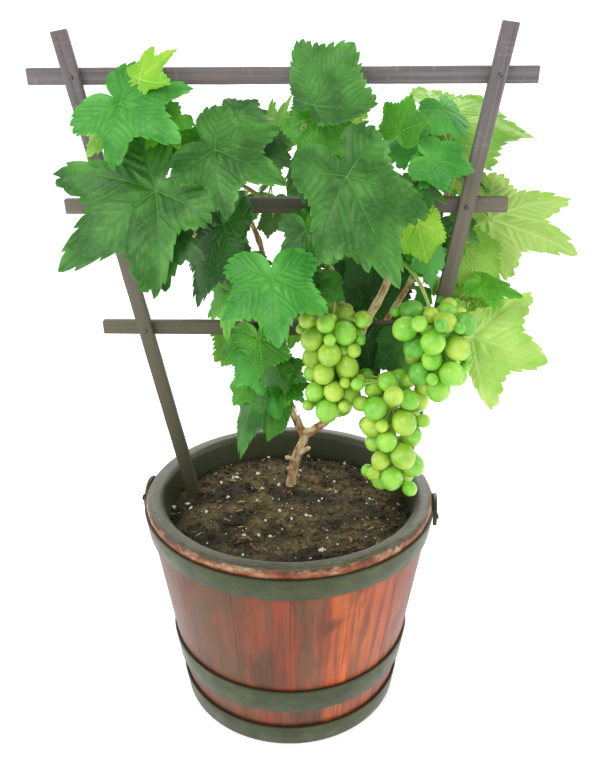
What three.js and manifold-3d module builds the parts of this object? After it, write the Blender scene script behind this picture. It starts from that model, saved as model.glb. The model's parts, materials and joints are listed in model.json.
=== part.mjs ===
// A potted grapevine: a young vine with three bunches of grapes, in a half-barrel tub, trained on laths.
// Millimetres, +Z up, front to -Y. The origin is the centre of the tub's flat underside.
import * as THREE from 'three';
import { mergeVertices } from 'three/addons/utils/BufferGeometryUtils.js';
import Module from 'manifold-3d';

const wasm = await Module();
wasm.setup();

// ---- Driving dimensions ----
const clear = 0.3; // between two pieces that touch
const tub = { height: 181, rimRadius: 115, footRadius: 88, wall: 14, rimRound: 5 };
const staveCount = 16;
const facetsPerStave = 2;
const boardThickness = 12;
const hoopThickness = 1.8;
const hoops = [
  { name: 'hoop_top', low: 156, high: 174 },
  { name: 'hoop_middle', low: 39, high: 61 },
  { name: 'hoop_foot', low: 1, high: 20 },
];
const handle = { width: 30, drop: 24, bar: 4, thick: 3, top: 172, steps: 14, aroundDegrees: -8 };
const soilLevel = 163;
const soilRelief = 2.2; // height of the crumbs and hollows in the soil's surface
const lath = { width: 10.5, thick: 6 }; // section of the trellis strips
const trellis = {
  foot: [3.5, 19.5, soilLevel],
  turn: [5, -0.82, -4.6], // degrees: lean to the front, roll, and turn about the upright
  halfFoot: 84.6,
  spread: 0.1625, // how far a leg moves out for each millimetre up
  buried: 45,
  top: 356,
  bars: [
    { name: 'trellis_bar_bottom', up: 149.2, from: -143.4, to: 133, dip: 0 },
    { name: 'trellis_bar_middle', up: 242, from: -158.3, to: 152.8, dip: 0 },
    { name: 'trellis_bar_top', up: 326.6, from: -170.2, to: 164, dip: 0.6 }, // degrees, to the right
  ],
};
const trunkFoot = [1, 29];

const colour = {
  wood: { color: 0x8a3f22, roughness: 0.42, metalness: 0 },
  hoop: { color: 0x4c5240, roughness: 0.5, metalness: 0.5 },
  soil: { color: 0x35261c, roughness: 0.95, metalness: 0 },
  lath: { color: 0x6c625f, roughness: 0.75, metalness: 0 },
  bark: { color: 0xa67a52, roughness: 0.85, metalness: 0 },
  leaf: { color: 0x3f9a3c, roughness: 0.6, metalness: 0 },
  grape: { color: 0x94cf58, roughness: 0.4, metalness: 0 },
};

// ---- The tools that the pieces share ----
const vine = new THREE.Group();
const vector = (list) => new THREE.Vector3(...list);
const degrees = THREE.MathUtils.degToRad;
const mix = THREE.MathUtils.lerp;

// A closed geometry as a solid that can be joined and cut.
function solidOf(geometry) {
  const bare = geometry.clone();
  bare.deleteAttribute('normal');
  bare.deleteAttribute('uv');
  const merged = mergeVertices(bare, 1e-4);
  const corners = merged.index.array;
  const triVerts = [];
  for (let i = 0; i < corners.length; i += 3) {
    const [a, b, c] = corners.slice(i, i + 3);
    if (a !== b && b !== c && c !== a) triVerts.push(a, b, c);
  }
  const mesh = new wasm.Mesh({
    numProp: 3,
    vertProperties: new Float32Array(merged.attributes.position.array),
    triVerts: new Uint32Array(triVerts),
  });
  return new wasm.Manifold(mesh);
}

function geometryOf(solid) {
  const mesh = solid.getMesh();
  const geometry = new THREE.BufferGeometry();
  geometry.setAttribute('position', new THREE.BufferAttribute(new Float32Array(mesh.vertProperties), 3));
  geometry.setIndex(new THREE.BufferAttribute(new Uint32Array(mesh.triVerts), 1));
  geometry.computeVertexNormals();
  return geometry;
}

// Cutting can leave a scrap behind the cut: only the main piece is kept.
function mainPiece(solid) {
  return solid.decompose().sort((a, b) => b.volume() - a.volume())[0];
}

function addMesh(name, geometry, look, parent = vine) {
  const mesh = new THREE.Mesh(geometry, new THREE.MeshStandardMaterial(look));
  mesh.name = name;
  parent.add(mesh);
  return mesh;
}

// A closed skin over a stack of rings with equal point counts, with its two ends closed flat.
function loft(rings) {
  const sides = rings[0].length;
  const faces = [];
  for (let k = 0; k + 1 < rings.length; k += 1) {
    for (let i = 0; i < sides; i += 1) {
      const [a, b] = [k * sides + i, k * sides + ((i + 1) % sides)];
      faces.push(a, b, b + sides, a, b + sides, a + sides);
    }
  }
  const last = (rings.length - 1) * sides;
  for (let i = 1; i + 1 < sides; i += 1) {
    faces.push(0, i + 1, i, last, last + i, last + i + 1);
  }
  const geometry = new THREE.BufferGeometry().setFromPoints(rings.flat());
  geometry.setIndex(faces);
  return geometry;
}

// A tapering tube along a curve; grow makes it fatter and longer, for the cut that clears it.
function tube(curve, steps, sides, radiusAt, grow = 0) {
  const frames = curve.computeFrenetFrames(steps, false);
  const rings = [];
  for (let k = 0; k <= steps; k += 1) {
    const centre = curve.getPointAt(k / steps);
    const ends = (k === steps) - (k === 0);
    centre.addScaledVector(frames.tangents[k], ends * grow);
    const radius = radiusAt(k / steps) + grow;
    rings.push(
      Array.from({ length: sides }, (_, side) => {
        const turn = (2 * Math.PI * side) / sides;
        return centre
          .clone()
          .addScaledVector(frames.normals[k], radius * Math.cos(turn))
          .addScaledVector(frames.binormals[k], radius * Math.sin(turn));
      }),
    );
  }
  return loft(rings);
}

// A seeded stream of numbers from 0 to 1.
function seeded(seed) {
  let state = seed >>> 0;
  return () => {
    state = (state + 0x6d2b79f5) >>> 0;
    let bits = Math.imul(state ^ (state >>> 15), state | 1);
    bits ^= bits + Math.imul(bits ^ (bits >>> 7), bits | 61);
    return ((bits ^ (bits >>> 14)) >>> 0) / 4294967296;
  };
}

// ---- The tub: staves, bottom board, hoops and handles ----
const stepAngle = (2 * Math.PI) / staveCount;
const roundFacets = staveCount * facetsPerStave;
const outerAt = (z) => mix(tub.footRadius, tub.rimRadius, z / tub.height);
const innerAt = (z) => outerAt(z) - tub.wall;

// A ring or disc turned about the tub's axis from a profile of [radius, height] pairs.
function turned(profile) {
  const points = profile.map(([radius, z]) => new THREE.Vector2(radius, z));
  return new THREE.LatheGeometry(points, roundFacets).rotateX(Math.PI / 2);
}

// The whole wall: a cone that widens to the top, with its rim rounded inside and out.
function tubWall() {
  const { height, rimRound } = tub;
  const shoulder = height - rimRound;
  const soft = rimRound * 0.3;
  return turned([
    [innerAt(0), 0],
    [outerAt(0), 0],
    [outerAt(shoulder), shoulder],
    [outerAt(height) - soft, height - soft],
    [outerAt(height) - rimRound, height],
    [innerAt(height) + rimRound, height],
    [innerAt(height) + soft, height - soft],
    [innerAt(shoulder), shoulder],
    [innerAt(0), 0],
  ]);
}

// One stave is the slice of the wall between two flat edges, each set back by half the joint.
function staveGeometry() {
  const halfAngle = stepAngle / 2;
  const far = tub.rimRadius * 1.4; // past the wall, so the wedge cuts right through it
  const apex = new THREE.Vector2(Math.cos(halfAngle), Math.sin(halfAngle));
  apex.multiplyScalar(clear / 2 / Math.sin(halfAngle));
  const wedge = new THREE.Shape([
    apex,
    new THREE.Vector2(apex.x + far, apex.y),
    new THREE.Vector2(apex.x + far * Math.cos(stepAngle), apex.y + far * Math.sin(stepAngle)),
  ]);
  const overrun = 1;
  const slice = new THREE.ExtrudeGeometry(wedge, { depth: tub.height + 2 * overrun, bevelEnabled: false });
  slice.translate(0, 0, -overrun);
  return geometryOf(solidOf(tubWall()).intersect(solidOf(slice)));
}

const stave = staveGeometry();
for (let i = 0; i < staveCount; i += 1) {
  const name = `stave_${String(i + 1).padStart(2, '0')}`;
  addMesh(name, stave, colour.wood).rotation.z = i * stepAngle;
}

const boardEdge = (z) => innerAt(z) - clear;
addMesh(
  'bottom_board',
  turned([[0, 0], [boardEdge(0), 0], [boardEdge(boardThickness), boardThickness], [0, boardThickness]]),
  colour.wood,
);

for (const { name, low, high } of hoops) {
  const inside = (z) => outerAt(z) + clear;
  const outside = (z) => inside(z) + hoopThickness;
  const profile = [[inside(low), low], [outside(low), low], [outside(high), high], [inside(high), high]];
  addMesh(name, turned([...profile, profile[0]]), colour.hoop);
}

// A flat bar bent into a U hangs by its two ends on the top hoop.
function handleGeometry() {
  const half = handle.width / 2;
  const round = new THREE.Path();
  round.moveTo(-half, 0);
  round.lineTo(-half, half - handle.drop);
  round.absarc(0, half - handle.drop, half, Math.PI, 2 * Math.PI, false);
  round.lineTo(half, 0);
  const along = round.getSpacedPoints(handle.steps).map(({ x, y }) => new THREE.Vector3(x, 0, y));
  const extrudePath = new THREE.CatmullRomCurve3(along);
  const [t, b] = [handle.thick / 2, handle.bar / 2];
  const corner = (x, y) => new THREE.Vector2(x, y);
  const section = new THREE.Shape([corner(-t, -b), corner(t, -b), corner(t, b), corner(-t, b)]);
  return new THREE.ExtrudeGeometry(section, { steps: handle.steps, extrudePath, bevelEnabled: false });
}

const handleShape = handleGeometry();
const hoopFace = outerAt(handle.top) + clear + hoopThickness;
const chordDepth = Math.sqrt(hoopFace ** 2 - (handle.width / 2) ** 2);
const handleReach = chordDepth + clear + handle.thick / 2;
for (const [name, side] of [['handle_right', 0], ['handle_left', 180]]) {
  const around = degrees(side + handle.aroundDegrees);
  const mesh = addMesh(name, handleShape, colour.hoop);
  mesh.position.set(handleReach * Math.cos(around), handleReach * Math.sin(around), handle.top);
  mesh.rotation.z = around + Math.PI / 2;
}

// ---- The trellis: two legs that spread upwards, and three bars nailed behind them ----
const frame = new THREE.Group();
frame.position.set(...trellis.foot);
frame.rotation.set(...trellis.turn.map(degrees), 'ZXY');
vine.add(frame);

const legAngle = Math.atan(trellis.spread);
const legLength = (trellis.top + trellis.buried) / Math.cos(legAngle);
const setOff = (lath.thick + clear) / 2;
const legs = [];
for (const [name, side] of [['trellis_leg_left', -1], ['trellis_leg_right', 1]]) {
  const leg = addMesh(name, new THREE.BoxGeometry(lath.width, lath.thick, legLength), colour.lath, frame);
  const middle = (trellis.top - trellis.buried) / 2;
  leg.position.set(side * (trellis.halfFoot + trellis.spread * middle), -setOff, middle);
  leg.rotation.y = side * legAngle;
  legs.push(leg);
}
for (const { name, up, from, to, dip } of trellis.bars) {
  const bar = addMesh(name, new THREE.BoxGeometry(to - from, lath.thick, lath.width), colour.lath, frame);
  bar.position.set((from + to) / 2, setOff, up);
  bar.rotation.y = degrees(dip);
}
vine.updateMatrixWorld(true);

// ---- The soil: it fills the tub to a crumbly surface, flat round the vine's foot ----
// Its rings run from the tub's wall in to the foot: each share is a part of that way.
function soilSolid() {
  const shares = [1, 0.84, 0.62, 0.4, 0.2, 0.1];
  const flatWithin = 0.3;
  const ring = (radius, z) =>
    Array.from({ length: staveCount }, (_, i) => {
      const turn = i * stepAngle;
      return new THREE.Vector3(radius * Math.cos(turn), radius * Math.sin(turn), z);
    });
  const foot = new THREE.Vector3(...trunkFoot, soilLevel);
  const edgeLevel = soilLevel - soilRelief;
  const top = shares.map((share, k) =>
    ring(innerAt(edgeLevel) - clear, edgeLevel).map((edge, i) => {
      const point = foot.clone().lerp(edge, share);
      const rough = share < flatWithin ? 0 : Math.sin(3.1 * i + 1.7 * k) * Math.cos(2.3 * i - 0.9 * k);
      return share === 1 ? edge : point.setZ(soilLevel + soilRelief * rough);
    }),
  );
  const low = boardThickness + clear;
  let soil = solidOf(loft([ring(innerAt(low) - clear, low), ...top]));
  for (const leg of legs) {
    const [wide, deep, long] = [lath.width, lath.thick, legLength].map((side) => side + 2 * clear);
    const hole = new THREE.BoxGeometry(wide, deep, long).applyMatrix4(leg.matrixWorld);
    soil = soil.subtract(solidOf(hole));
  }
  return soil;
}
const soil = soilSolid();
addMesh('soil', geometryOf(soil), colour.soil);

// ---- The woody frame: trunk, two arms and the canes that they carry ----
// Each limb runs through its points and tapers from its first radius to its last.
const rightFork = [42, 6, 264];
const leftFork = [-3, 17, 258];
const limbs = [
  {
    name: 'trunk',
    radius: [4.3, 4],
    flare: 3.4,
    points: [[1, 30, 156], [1, 29, 164], [3, 27, 178], [5, 25, 192], [9, 22, 205], [13, 19, 217]],
  },
  {
    name: 'arm_right',
    radius: [3.9, 3.7],
    points: [[13, 19, 217], [21, 16, 224], [30, 12, 234], [36, 9, 248], rightFork],
  },
  {
    name: 'arm_left',
    radius: [3.7, 3.1],
    points: [[12, 20, 215], [7, 19, 227], [2, 18, 240], leftFork],
  },
  {
    name: 'cane_right',
    radius: [3.8, 2],
    points: [rightFork, [54, -2, 312], [72, -3, 352], [84, 9, 402], [91, 9, 430]],
  },
  {
    name: 'cane_middle',
    radius: [2.8, 1.6],
    points: [rightFork, [46, -5, 290], [38, -6, 336], [24, -7, 384], [20, -4, 446]],
  },
  {
    name: 'cane_left_inner',
    radius: [2.6, 1.6],
    points: [leftFork, [-11, 3, 312], [-20, 2, 376], [-38, -2, 415], [-42, 0, 436]],
  },
  {
    name: 'cane_left_outer',
    radius: [2.5, 1.6],
    points: [leftFork, [-30, 5, 312], [-61, 3, 372], [-87, -3, 428], [-92, -5, 448]],
  },
  {
    name: 'cane_left_low',
    radius: [2.2, 1.5],
    points: [[0, 18, 244], [-8, 20, 256], [-21, 29, 280]],
  },
  {
    name: 'cane_right_outer',
    radius: [2.7, 1.7],
    points: [rightFork, [74, 20, 312], [92, 19, 345], [104, 15, 375], [118, 9, 428]],
  },
  {
    name: 'cane_right_low',
    radius: [2.4, 1.6],
    points: [[36, 9, 248], [52, 4, 264], [76, -8, 282]],
  },
  {
    name: 'cane_back',
    radius: [2.5, 1.6],
    points: [leftFork, [-4, 32, 288], [2, 42, 330], [8, 48, 400]],
  },
];

const limbSteps = 9;
const limbSides = 6;
const flareFade = 9; // how fast the root flare dies away up the trunk
const limbCurves = new Map();
for (const limb of limbs) {
  const curve = new THREE.CatmullRomCurve3(limb.points.map(vector), false, 'catmullrom', 0.5);
  limbCurves.set(limb.name, curve);
  const flareAt = (t) => (limb.flare ?? 0) * Math.exp(-flareFade * t);
  const radiusAt = (t) => mix(...limb.radius, t) + flareAt(t);
  limb.solid = solidOf(tube(curve, limbSteps, limbSides, radiusAt));
  limb.cutter = solidOf(tube(curve, limbSteps, limbSides, radiusAt, clear));
}
const cutDepth = 40;
const belowSoil = new THREE.BoxGeometry(cutDepth, cutDepth, cutDepth);
belowSoil.translate(...trunkFoot, soilLevel + clear - cutDepth / 2);
limbs[0].solid = limbs[0].solid.subtract(solidOf(belowSoil));
limbs.forEach((limb, i) => {
  for (const earlier of limbs.slice(0, i)) limb.solid = limb.solid.subtract(earlier.cutter);
  limb.solid = mainPiece(limb.solid);
  addMesh(limb.name, geometryOf(limb.solid), colour.bark);
});

// ---- What has its place already; a leaf that would touch any of it is skipped ----
const placed = [];
function keepClearOf(solid, owner = '') {
  placed.push({ solid, owner, box: solid.boundingBox() });
}
function touches(solid, owner = '') {
  const { min, max } = solid.boundingBox();
  return placed.some((other) => {
    if (other.owner && other.owner === owner) return false;
    const apart = [0, 1, 2].some((k) => other.box.max[k] < min[k] || other.box.min[k] > max[k]);
    return !apart && !solid.intersect(other.solid).isEmpty();
  });
}
vine.traverse((object) => {
  if (!object.isMesh) return;
  keepClearOf(solidOf(object.geometry.clone().applyMatrix4(object.matrixWorld)));
});

// ---- Bunches of grapes: berries on short stalks round a hanging stem ----
const bunches = [
  {
    name: 'grapes_left', from: ['cane_middle', 0.46],
    top: [31, -26, 330], tip: [31, -31, 264], width: 47, berries: 22, seed: 11,
  },
  {
    name: 'grapes_right', from: ['cane_right', 0.62],
    top: [97, -43, 338], tip: [104, -44, 292], width: 52, berries: 21, seed: 23,
  },
  {
    name: 'grapes_low', from: ['cane_right_low', 1],
    top: [73, -44, 288], tip: [76, -48, 213], width: 52, berries: 23, seed: 37,
  },
];
const berryRadius = 8; // of the typical berry: the smallest are 0.72 of it, the largest 1.08
const berryGap = 0.25;
const pushRounds = 60;
const mainStemRadius = 1.3;
const berryStalkRadius = 0.7;
const goldenTurn = Math.PI * (3 - Math.sqrt(5));

// The berries start on a spiral that tapers to the tip, then push each other apart until none overlap.
const settled = [];
function berriesOf({ top, tip, width, berries, seed }) {
  const draw = seeded(seed);
  const [high, low] = [vector(top), vector(tip)];
  const list = Array.from({ length: berries }, (_, i) => {
    const share = (i + 0.5) / berries;
    const radius = berryRadius * (0.72 + 0.36 * Math.sqrt(draw()));
    const out = (width / 2 - berryRadius) * Math.min(1, 0.55 + 2.5 * share) * Math.sqrt(1.15 - share);
    const turn = i * goldenTurn + draw();
    const centre = high.clone().lerp(low, share);
    centre.add(new THREE.Vector3(out * Math.cos(turn), out * Math.sin(turn), 0));
    return { radius, centre };
  });
  for (let round = 0; round < pushRounds; round += 1) {
    for (let i = 0; i < berries; i += 1) {
      for (let j = 0; j < i; j += 1) {
        const apart = list[i].centre.clone().sub(list[j].centre);
        const short = list[i].radius + list[j].radius + berryGap - apart.length();
        if (short > 0) {
          apart.setLength(short / 2);
          list[i].centre.add(apart);
          list[j].centre.sub(apart);
        }
      }
      const { radius, centre } = list[i];
      for (const other of settled) {
        const apart = centre.clone().sub(other.centre);
        const short = radius + other.radius + 2 * berryGap - apart.length();
        if (short > 0) centre.add(apart.setLength(short));
      }
      const share = THREE.MathUtils.clamp((high.z - centre.z) / (high.z - low.z), 0, 1);
      const away = centre.clone().sub(high.clone().lerp(low, share)).setZ(0);
      const needed = radius + mainStemRadius + berryGap - away.length();
      if (needed > 0) centre.add(away.setLength(needed));
    }
  }
  settled.push(...list);
  return list;
}

const stalkSides = 3;
const stemSides = 5;
const berryFacets = [5, 4]; // round and down
function straightTube(from, to, radius, sides) {
  return solidOf(tube(new THREE.LineCurve3(from, to), 1, sides, () => radius));
}

for (const bunch of bunches) {
  const [limb, share] = bunch.from;
  const start = limbCurves.get(limb).getPointAt(share);
  const [top, tip] = [vector(bunch.top), vector(bunch.tip)];
  const bend = start.clone().lerp(top, 0.6).setZ(Math.max(start.z, top.z) + 2);
  const stalk = new THREE.QuadraticBezierCurve3(start, bend, top);
  let solid = solidOf(tube(stalk, 4, stemSides, () => mainStemRadius));
  solid = solid.add(straightTube(top, tip, mainStemRadius, stemSides));
  for (const { radius, centre } of berriesOf(bunch)) {
    const share = THREE.MathUtils.clamp((top.z - centre.z - radius * 0.6) / (top.z - tip.z), 0, 1);
    const fork = top.clone().lerp(tip, Math.max(0, share - 0.08));
    const ball = new THREE.SphereGeometry(radius, ...berryFacets).rotateX(Math.PI / 2).translate(...centre);
    solid = solid.add(straightTube(fork, centre, berryStalkRadius, stalkSides)).add(solidOf(ball));
  }
  for (const { cutter } of limbs) solid = solid.subtract(cutter);
  solid = mainPiece(solid);
  addMesh(bunch.name, geometryOf(solid), colour.grape);
  keepClearOf(solid);
}

// ---- Leaves ----
// A blade has five lobes. Its outline is set by the reach of each lobe, as a share of the midrib,
// at that lobe's angle from the midrib; between two lobes it draws in by the depth of the sinus.
const lobes = [[0, 1], [50, 0.86], [108, 0.62], [180, 0.1]];
const outlineTurns = [0, 13, 25, 38, 50, 79, 108, 148, 180];

function reach(turn, { sinus, heel }) {
  const size = Math.abs(turn);
  const k = [...lobes.keys()].findLast((i) => i < 3 && lobes[i][0] <= size);
  const [[from, near], [to, far]] = [lobes[k], lobes[k + 1]];
  const share = (size - from) / (to - from);
  if (k === 2) return heel * mix(near, far, share * share);
  const basal = k === 1 ? mix(1, heel, share) : 1;
  return mix(near, far, share) * basal * (1 - sinus * Math.sin(Math.PI * share));
}

// A point of the blade, at a turn from the midrib and a share of the way out to the edge.
function bladePoint(leaf, turn, share, grow = 0) {
  const out = reach(turn, leaf) * share + grow / leaf.length;
  const angle = degrees(turn);
  const [x, y] = [out * Math.cos(angle), leaf.width * out * Math.sin(angle)];
  const fall = -leaf.fall * Math.abs(y) + leaf.arch * out * (1 - out);
  return leaf.at
    .clone()
    .addScaledVector(leaf.along, leaf.length * x)
    .addScaledVector(leaf.across, leaf.length * y)
    .addScaledVector(leaf.up, leaf.length * fall);
}

function leafOf({ at, along, up, length, sinus = 0.2, heel = 1, width = 1, fall = 0.15, arch = 0.2 }) {
  const across = up.clone().cross(along).normalize();
  return { at, along, across, up: along.clone().cross(across), length, sinus, heel, width, fall, arch };
}

// The blade as a solid: thickest on the midrib, thin at the edge. With grow it is fatter all round.
const thickestAt = 0.26; // as shares of the midrib
const stalkEndAt = 0.12;
const bladeHalf = ({ length }) => 0.7 + 0.016 * length;
const stalkRadius = ({ length }) => 0.8 + 0.006 * length;
function bladeSolid(leaf, grow = 0) {
  const turns = [...outlineTurns, ...outlineTurns.slice(1, -1).reverse().map((turn) => -turn)];
  const half = bladeHalf(leaf) + grow;
  const middle = bladePoint(leaf, 0, thickestAt);
  const edge = turns.map((turn) => bladePoint(leaf, turn, 1, grow));
  const count = edge.length;
  const points = edge.map((point) => point.clone().addScaledVector(leaf.up, grow));
  if (grow) points.push(...edge.map((point) => point.clone().addScaledVector(leaf.up, -grow)));
  const under = grow ? count : 0;
  points.push(middle.clone().addScaledVector(leaf.up, half));
  points.push(middle.clone().addScaledVector(leaf.up, -half));
  const [above, below] = [points.length - 2, points.length - 1];
  const faces = [];
  for (let i = 0; i < count; i += 1) {
    const next = (i + 1) % count;
    faces.push(above, i, next, below, under + next, under + i);
    if (grow) faces.push(i, under + i, under + next, i, under + next, next);
  }
  const geometry = new THREE.BufferGeometry().setFromPoints(points);
  geometry.setIndex(faces);
  return solidOf(geometry);
}

// The stalk arches from the shoot to the blade's notch and ends inside the blade, on the midrib.
function stalkSolid(leaf, start, grow = 0) {
  const end = bladePoint(leaf, 0, stalkEndAt);
  const span = leaf.at.distanceTo(start);
  const bend = leaf.at
    .clone()
    .lerp(start, 0.45)
    .addScaledVector(leaf.along, -0.2 * span)
    .addScaledVector(leaf.up, -0.15 * span);
  const curve = new THREE.QuadraticBezierCurve3(start, bend, end);
  return solidOf(tube(curve, 2, stalkSides, (t) => stalkRadius(leaf) * (1 - 0.5 * t), grow));
}

// ---- Shoots: each is one mass of foliage, on a stem that leaves a cane ----
// faces is where its leaves look. leads are its largest leaves, each with the place of its stalk's end,
// the place of its tip and where on the stem its stalk starts. The other leaves follow the seeded rule.
const shoots = [
  {
    name: 'shoot_left_high', from: ['cane_left_outer', 1], to: [-98, -9, 474],
    faces: [-0.2, -0.8, 0.5], leaves: 4, leafLength: 27, seed: 101,
    leads: [
      {
        at: [-106, -26, 472], tip: [-66, -50, 450], faces: [-0.1, -0.75, 0.65],
        stem: 0.35, sinus: 0.34, width: 1.1,
      },
      {
        at: [-94, -17, 486], tip: [-69, -20, 503], faces: [0.3, -0.6, 0.7],
        stem: 1, sinus: 0.35, width: 0.8,
      },
    ],
  },
  {
    name: 'shoot_left_wide', from: ['cane_left_outer', 0.8], to: [-92, -14, 408],
    faces: [-0.4, -0.8, 0.3], leaves: 4, leafLength: 38, seed: 102,
    leads: [
      {
        at: [-86, -33, 419], tip: [-149, -50, 370], faces: [-0.2, -0.85, 0.4],
        stem: 0.6, sinus: 0.32, fall: 0.06, width: 1.05,
      },
    ],
  },
  {
    name: 'shoot_left_inner', from: ['cane_left_inner', 1], to: [-50, -6, 458],
    faces: [-0.1, -0.9, 0.5], leaves: 4, leafLength: 34, seed: 103,
    leads: [
      {
        at: [-47, -30, 444], tip: [-1, -40, 423], faces: [0, -0.75, 0.66],
        stem: 0.3, sinus: 0.24, width: 1.1,
      },
    ],
  },
  {
    name: 'shoot_left_hang', from: ['cane_left_inner', 0.62], to: [-38, -10, 372],
    faces: [-0.6, -0.7, 0.2], leaves: 3, leafLength: 34, seed: 104,
    leads: [
      {
        at: [-44, -23, 395], tip: [-62, -32, 341], faces: [-0.6, -0.8, 0.1],
        stem: 1, sinus: 0.2, width: 0.62, fall: 0.25,
      },
    ],
  },
  {
    name: 'shoot_top', from: ['cane_middle', 1], to: [14, -14, 462],
    faces: [0, -0.8, 0.6], leaves: 4, leafLength: 28, seed: 105,
    leads: [
      {
        at: [17, -24, 471], tip: [41, -29, 507], faces: [-0.1, -0.9, 0.4],
        stem: 0.7, sinus: 0.34, width: 1.2,
      },
      {
        at: [22, -15, 463], tip: [12, -25, 437], faces: [0, -0.95, 0.2],
        stem: 0.3, sinus: 0.1, width: 1.1,
      },
      { at: [47, -6, 462], tip: [33, -11, 469], faces: [0, -0.8, 0.6], stem: 0.05, sinus: 0.3 },
    ],
  },
  {
    name: 'shoot_middle', from: ['cane_middle', 0.78], to: [42, -18, 424],
    faces: [0.1, -0.9, 0.4], leaves: 3, leafLength: 34, seed: 106,
    leads: [
      {
        at: [37, -46, 429], tip: [69, -75, 365], faces: [-0.05, -0.85, 0.5],
        stem: 0.9, sinus: 0.16, width: 0.82,
      },
    ],
  },
  {
    name: 'shoot_low_middle', from: ['cane_middle', 0.52], to: [4, -22, 366],
    faces: [0, -0.9, 0.4], leaves: 4, leafLength: 34, seed: 107,
    leads: [
      {
        at: [-11, -48, 365], tip: [-7, -74, 325], faces: [0, -0.8, 0.6],
        stem: 1, sinus: 0.24, width: 1.05,
      },
    ],
  },
  {
    name: 'shoot_left_low', from: ['cane_left_low', 1], to: [-32, 24, 292],
    faces: [-0.6, -0.5, 0.4], leaves: 6, leafLength: 25, seed: 108,
    leads: [
      {
        at: [-29, 38, 305], tip: [-60, 36, 275], faces: [0.2, 0.7, 0.6],
        stem: 0.5, sinus: 0.14, width: 0.9,
      },
    ],
  },
  {
    name: 'shoot_foot', from: ['arm_left', 0.75], to: [-18, 4, 276],
    faces: [-0.4, -0.8, 0.2], leaves: 4, leafLength: 25, seed: 109,
    leads: [
      {
        at: [-23, -9, 279], tip: [-37, -22, 218], faces: [-0.6, -0.8, 0.1],
        stem: 1, sinus: 0.1, width: 0.3, fall: 0.4,
      },
      {
        at: [-22, -12, 311], tip: [-18, -20, 280], faces: [-0.1, -0.9, 0.3],
        stem: 1, sinus: 0.2, fall: 0.3,
      },
      {
        at: [-7, 2, 250], tip: [-17, -10, 226], faces: [-0.3, -0.8, 0.4],
        stem: 0.4, sinus: 0.1, width: 0.5, fall: 0.5,
      },
    ],
  },
  {
    name: 'shoot_right_high', from: ['cane_right', 1], to: [102, 22, 456],
    faces: [0.1, -0.4, 0.9], leaves: 4, leafLength: 30, seed: 110,
    leads: [
      {
        at: [112, 38, 460], tip: [178, 32, 446], faces: [0.1, -0.5, 0.85],
        stem: 0.9, sinus: 0.22, width: 0.95,
      },
      { at: [74, -12, 455], tip: [80, -18, 477], faces: [-0.2, -0.9, 0.3], stem: 0.5, sinus: 0.2 },
    ],
  },
  {
    name: 'shoot_right_inner', from: ['cane_right', 0.93], to: [88, -15, 430],
    faces: [0.3, -0.9, 0.3], leaves: 4, leafLength: 30, seed: 111,
    leads: [
      { at: [94, -20, 437], tip: [121, -30, 430], faces: [0, -0.8, 0.6], stem: 1, sinus: 0.25 },
      { at: [87, -24, 396], tip: [94, -30, 370], faces: [0.1, -0.9, 0.3], stem: 0.8, sinus: 0.1 },
    ],
  },
  {
    name: 'shoot_right_wide', from: ['cane_right_outer', 1], to: [132, 18, 410],
    faces: [0.6, 0.2, 0.7], leaves: 3, leafLength: 36, seed: 112,
    leads: [
      {
        at: [147, 20, 391], tip: [211, 10, 366], faces: [0.1, 0.75, 0.6],
        stem: 1, sinus: 0.3, width: 1.05,
      },
      { at: [129, 19, 373], tip: [156, 11, 347], faces: [0.2, -0.8, 0.5], stem: 0.6, sinus: 0.12 },
    ],
  },
  {
    name: 'shoot_right_low', from: ['cane_right_outer', 0.5], to: [131, -6, 336],
    faces: [0.5, -0.6, 0.5], leaves: 3, leafLength: 32, seed: 113,
    leads: [
      {
        at: [133, -18, 313], tip: [187, -26, 296], faces: [0.1, -0.9, 0.35],
        stem: 1, sinus: 0.24, heel: 0.45, width: 1.2,
      },
      { at: [138, 12, 326], tip: [158, 10, 343], faces: [0, -0.8, 0.6], stem: 1, sinus: 0.12 },
    ],
  },
  {
    name: 'shoot_right_hang', from: ['cane_right_outer', 0.7], to: [99, -10, 392],
    faces: [0.1, -0.9, 0.3], leaves: 5, leafLength: 28, seed: 114,
    leads: [
      {
        at: [96, -17, 385], tip: [100, -22, 349], faces: [0.3, -0.9, 0.2],
        stem: 1, sinus: 0.2, heel: 0.6, width: 0.56, fall: 0.25,
      },
    ],
  },
  {
    name: 'shoot_back_left', from: ['cane_back', 0.9], to: [-62, 44, 428],
    faces: [-0.4, 0.8, 0.5], leaves: 9, leafLength: 44, seed: 115, leads: [],
  },
  {
    name: 'shoot_back_middle', from: ['cane_back', 1], to: [16, 42, 450],
    faces: [0, 0.9, 0.5], leaves: 10, leafLength: 40, seed: 116, leads: [],
  },
  {
    name: 'shoot_back_right', from: ['cane_back', 0.8], to: [74, 46, 414],
    faces: [0.3, 0.8, 0.5], leaves: 9, leafLength: 42, seed: 117,
    leads: [
      { at: [92, 36, 372], tip: [112, 31, 342], faces: [0, -0.9, 0.4], stem: 1, sinus: 0.24 },
    ],
  },
  {
    name: 'shoot_back_low', from: ['cane_back', 0.45], to: [34, 62, 318],
    faces: [0.1, 0.9, 0.4], leaves: 8, leafLength: 35, seed: 118,
    leads: [
      { at: [62, 44, 334], tip: [99, 36, 306], faces: [0, -0.85, 0.5], stem: 1, sinus: 0.2, width: 1.1 },
      { at: [64, 42, 302], tip: [98, 33, 268], faces: [0.1, -0.9, 0.3], stem: 0.9, sinus: 0.2 },
      { at: [30, 38, 340], tip: [37, 31, 303], faces: [-0.1, -0.9, 0.3], stem: 0.8, sinus: 0.24 },
    ],
  },
];
const shootRadius = [1.7, 1.1];
const tries = 14; // places that the rule offers for one leaf before it gives that leaf up
const up = new THREE.Vector3(0, 0, 1);

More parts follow.
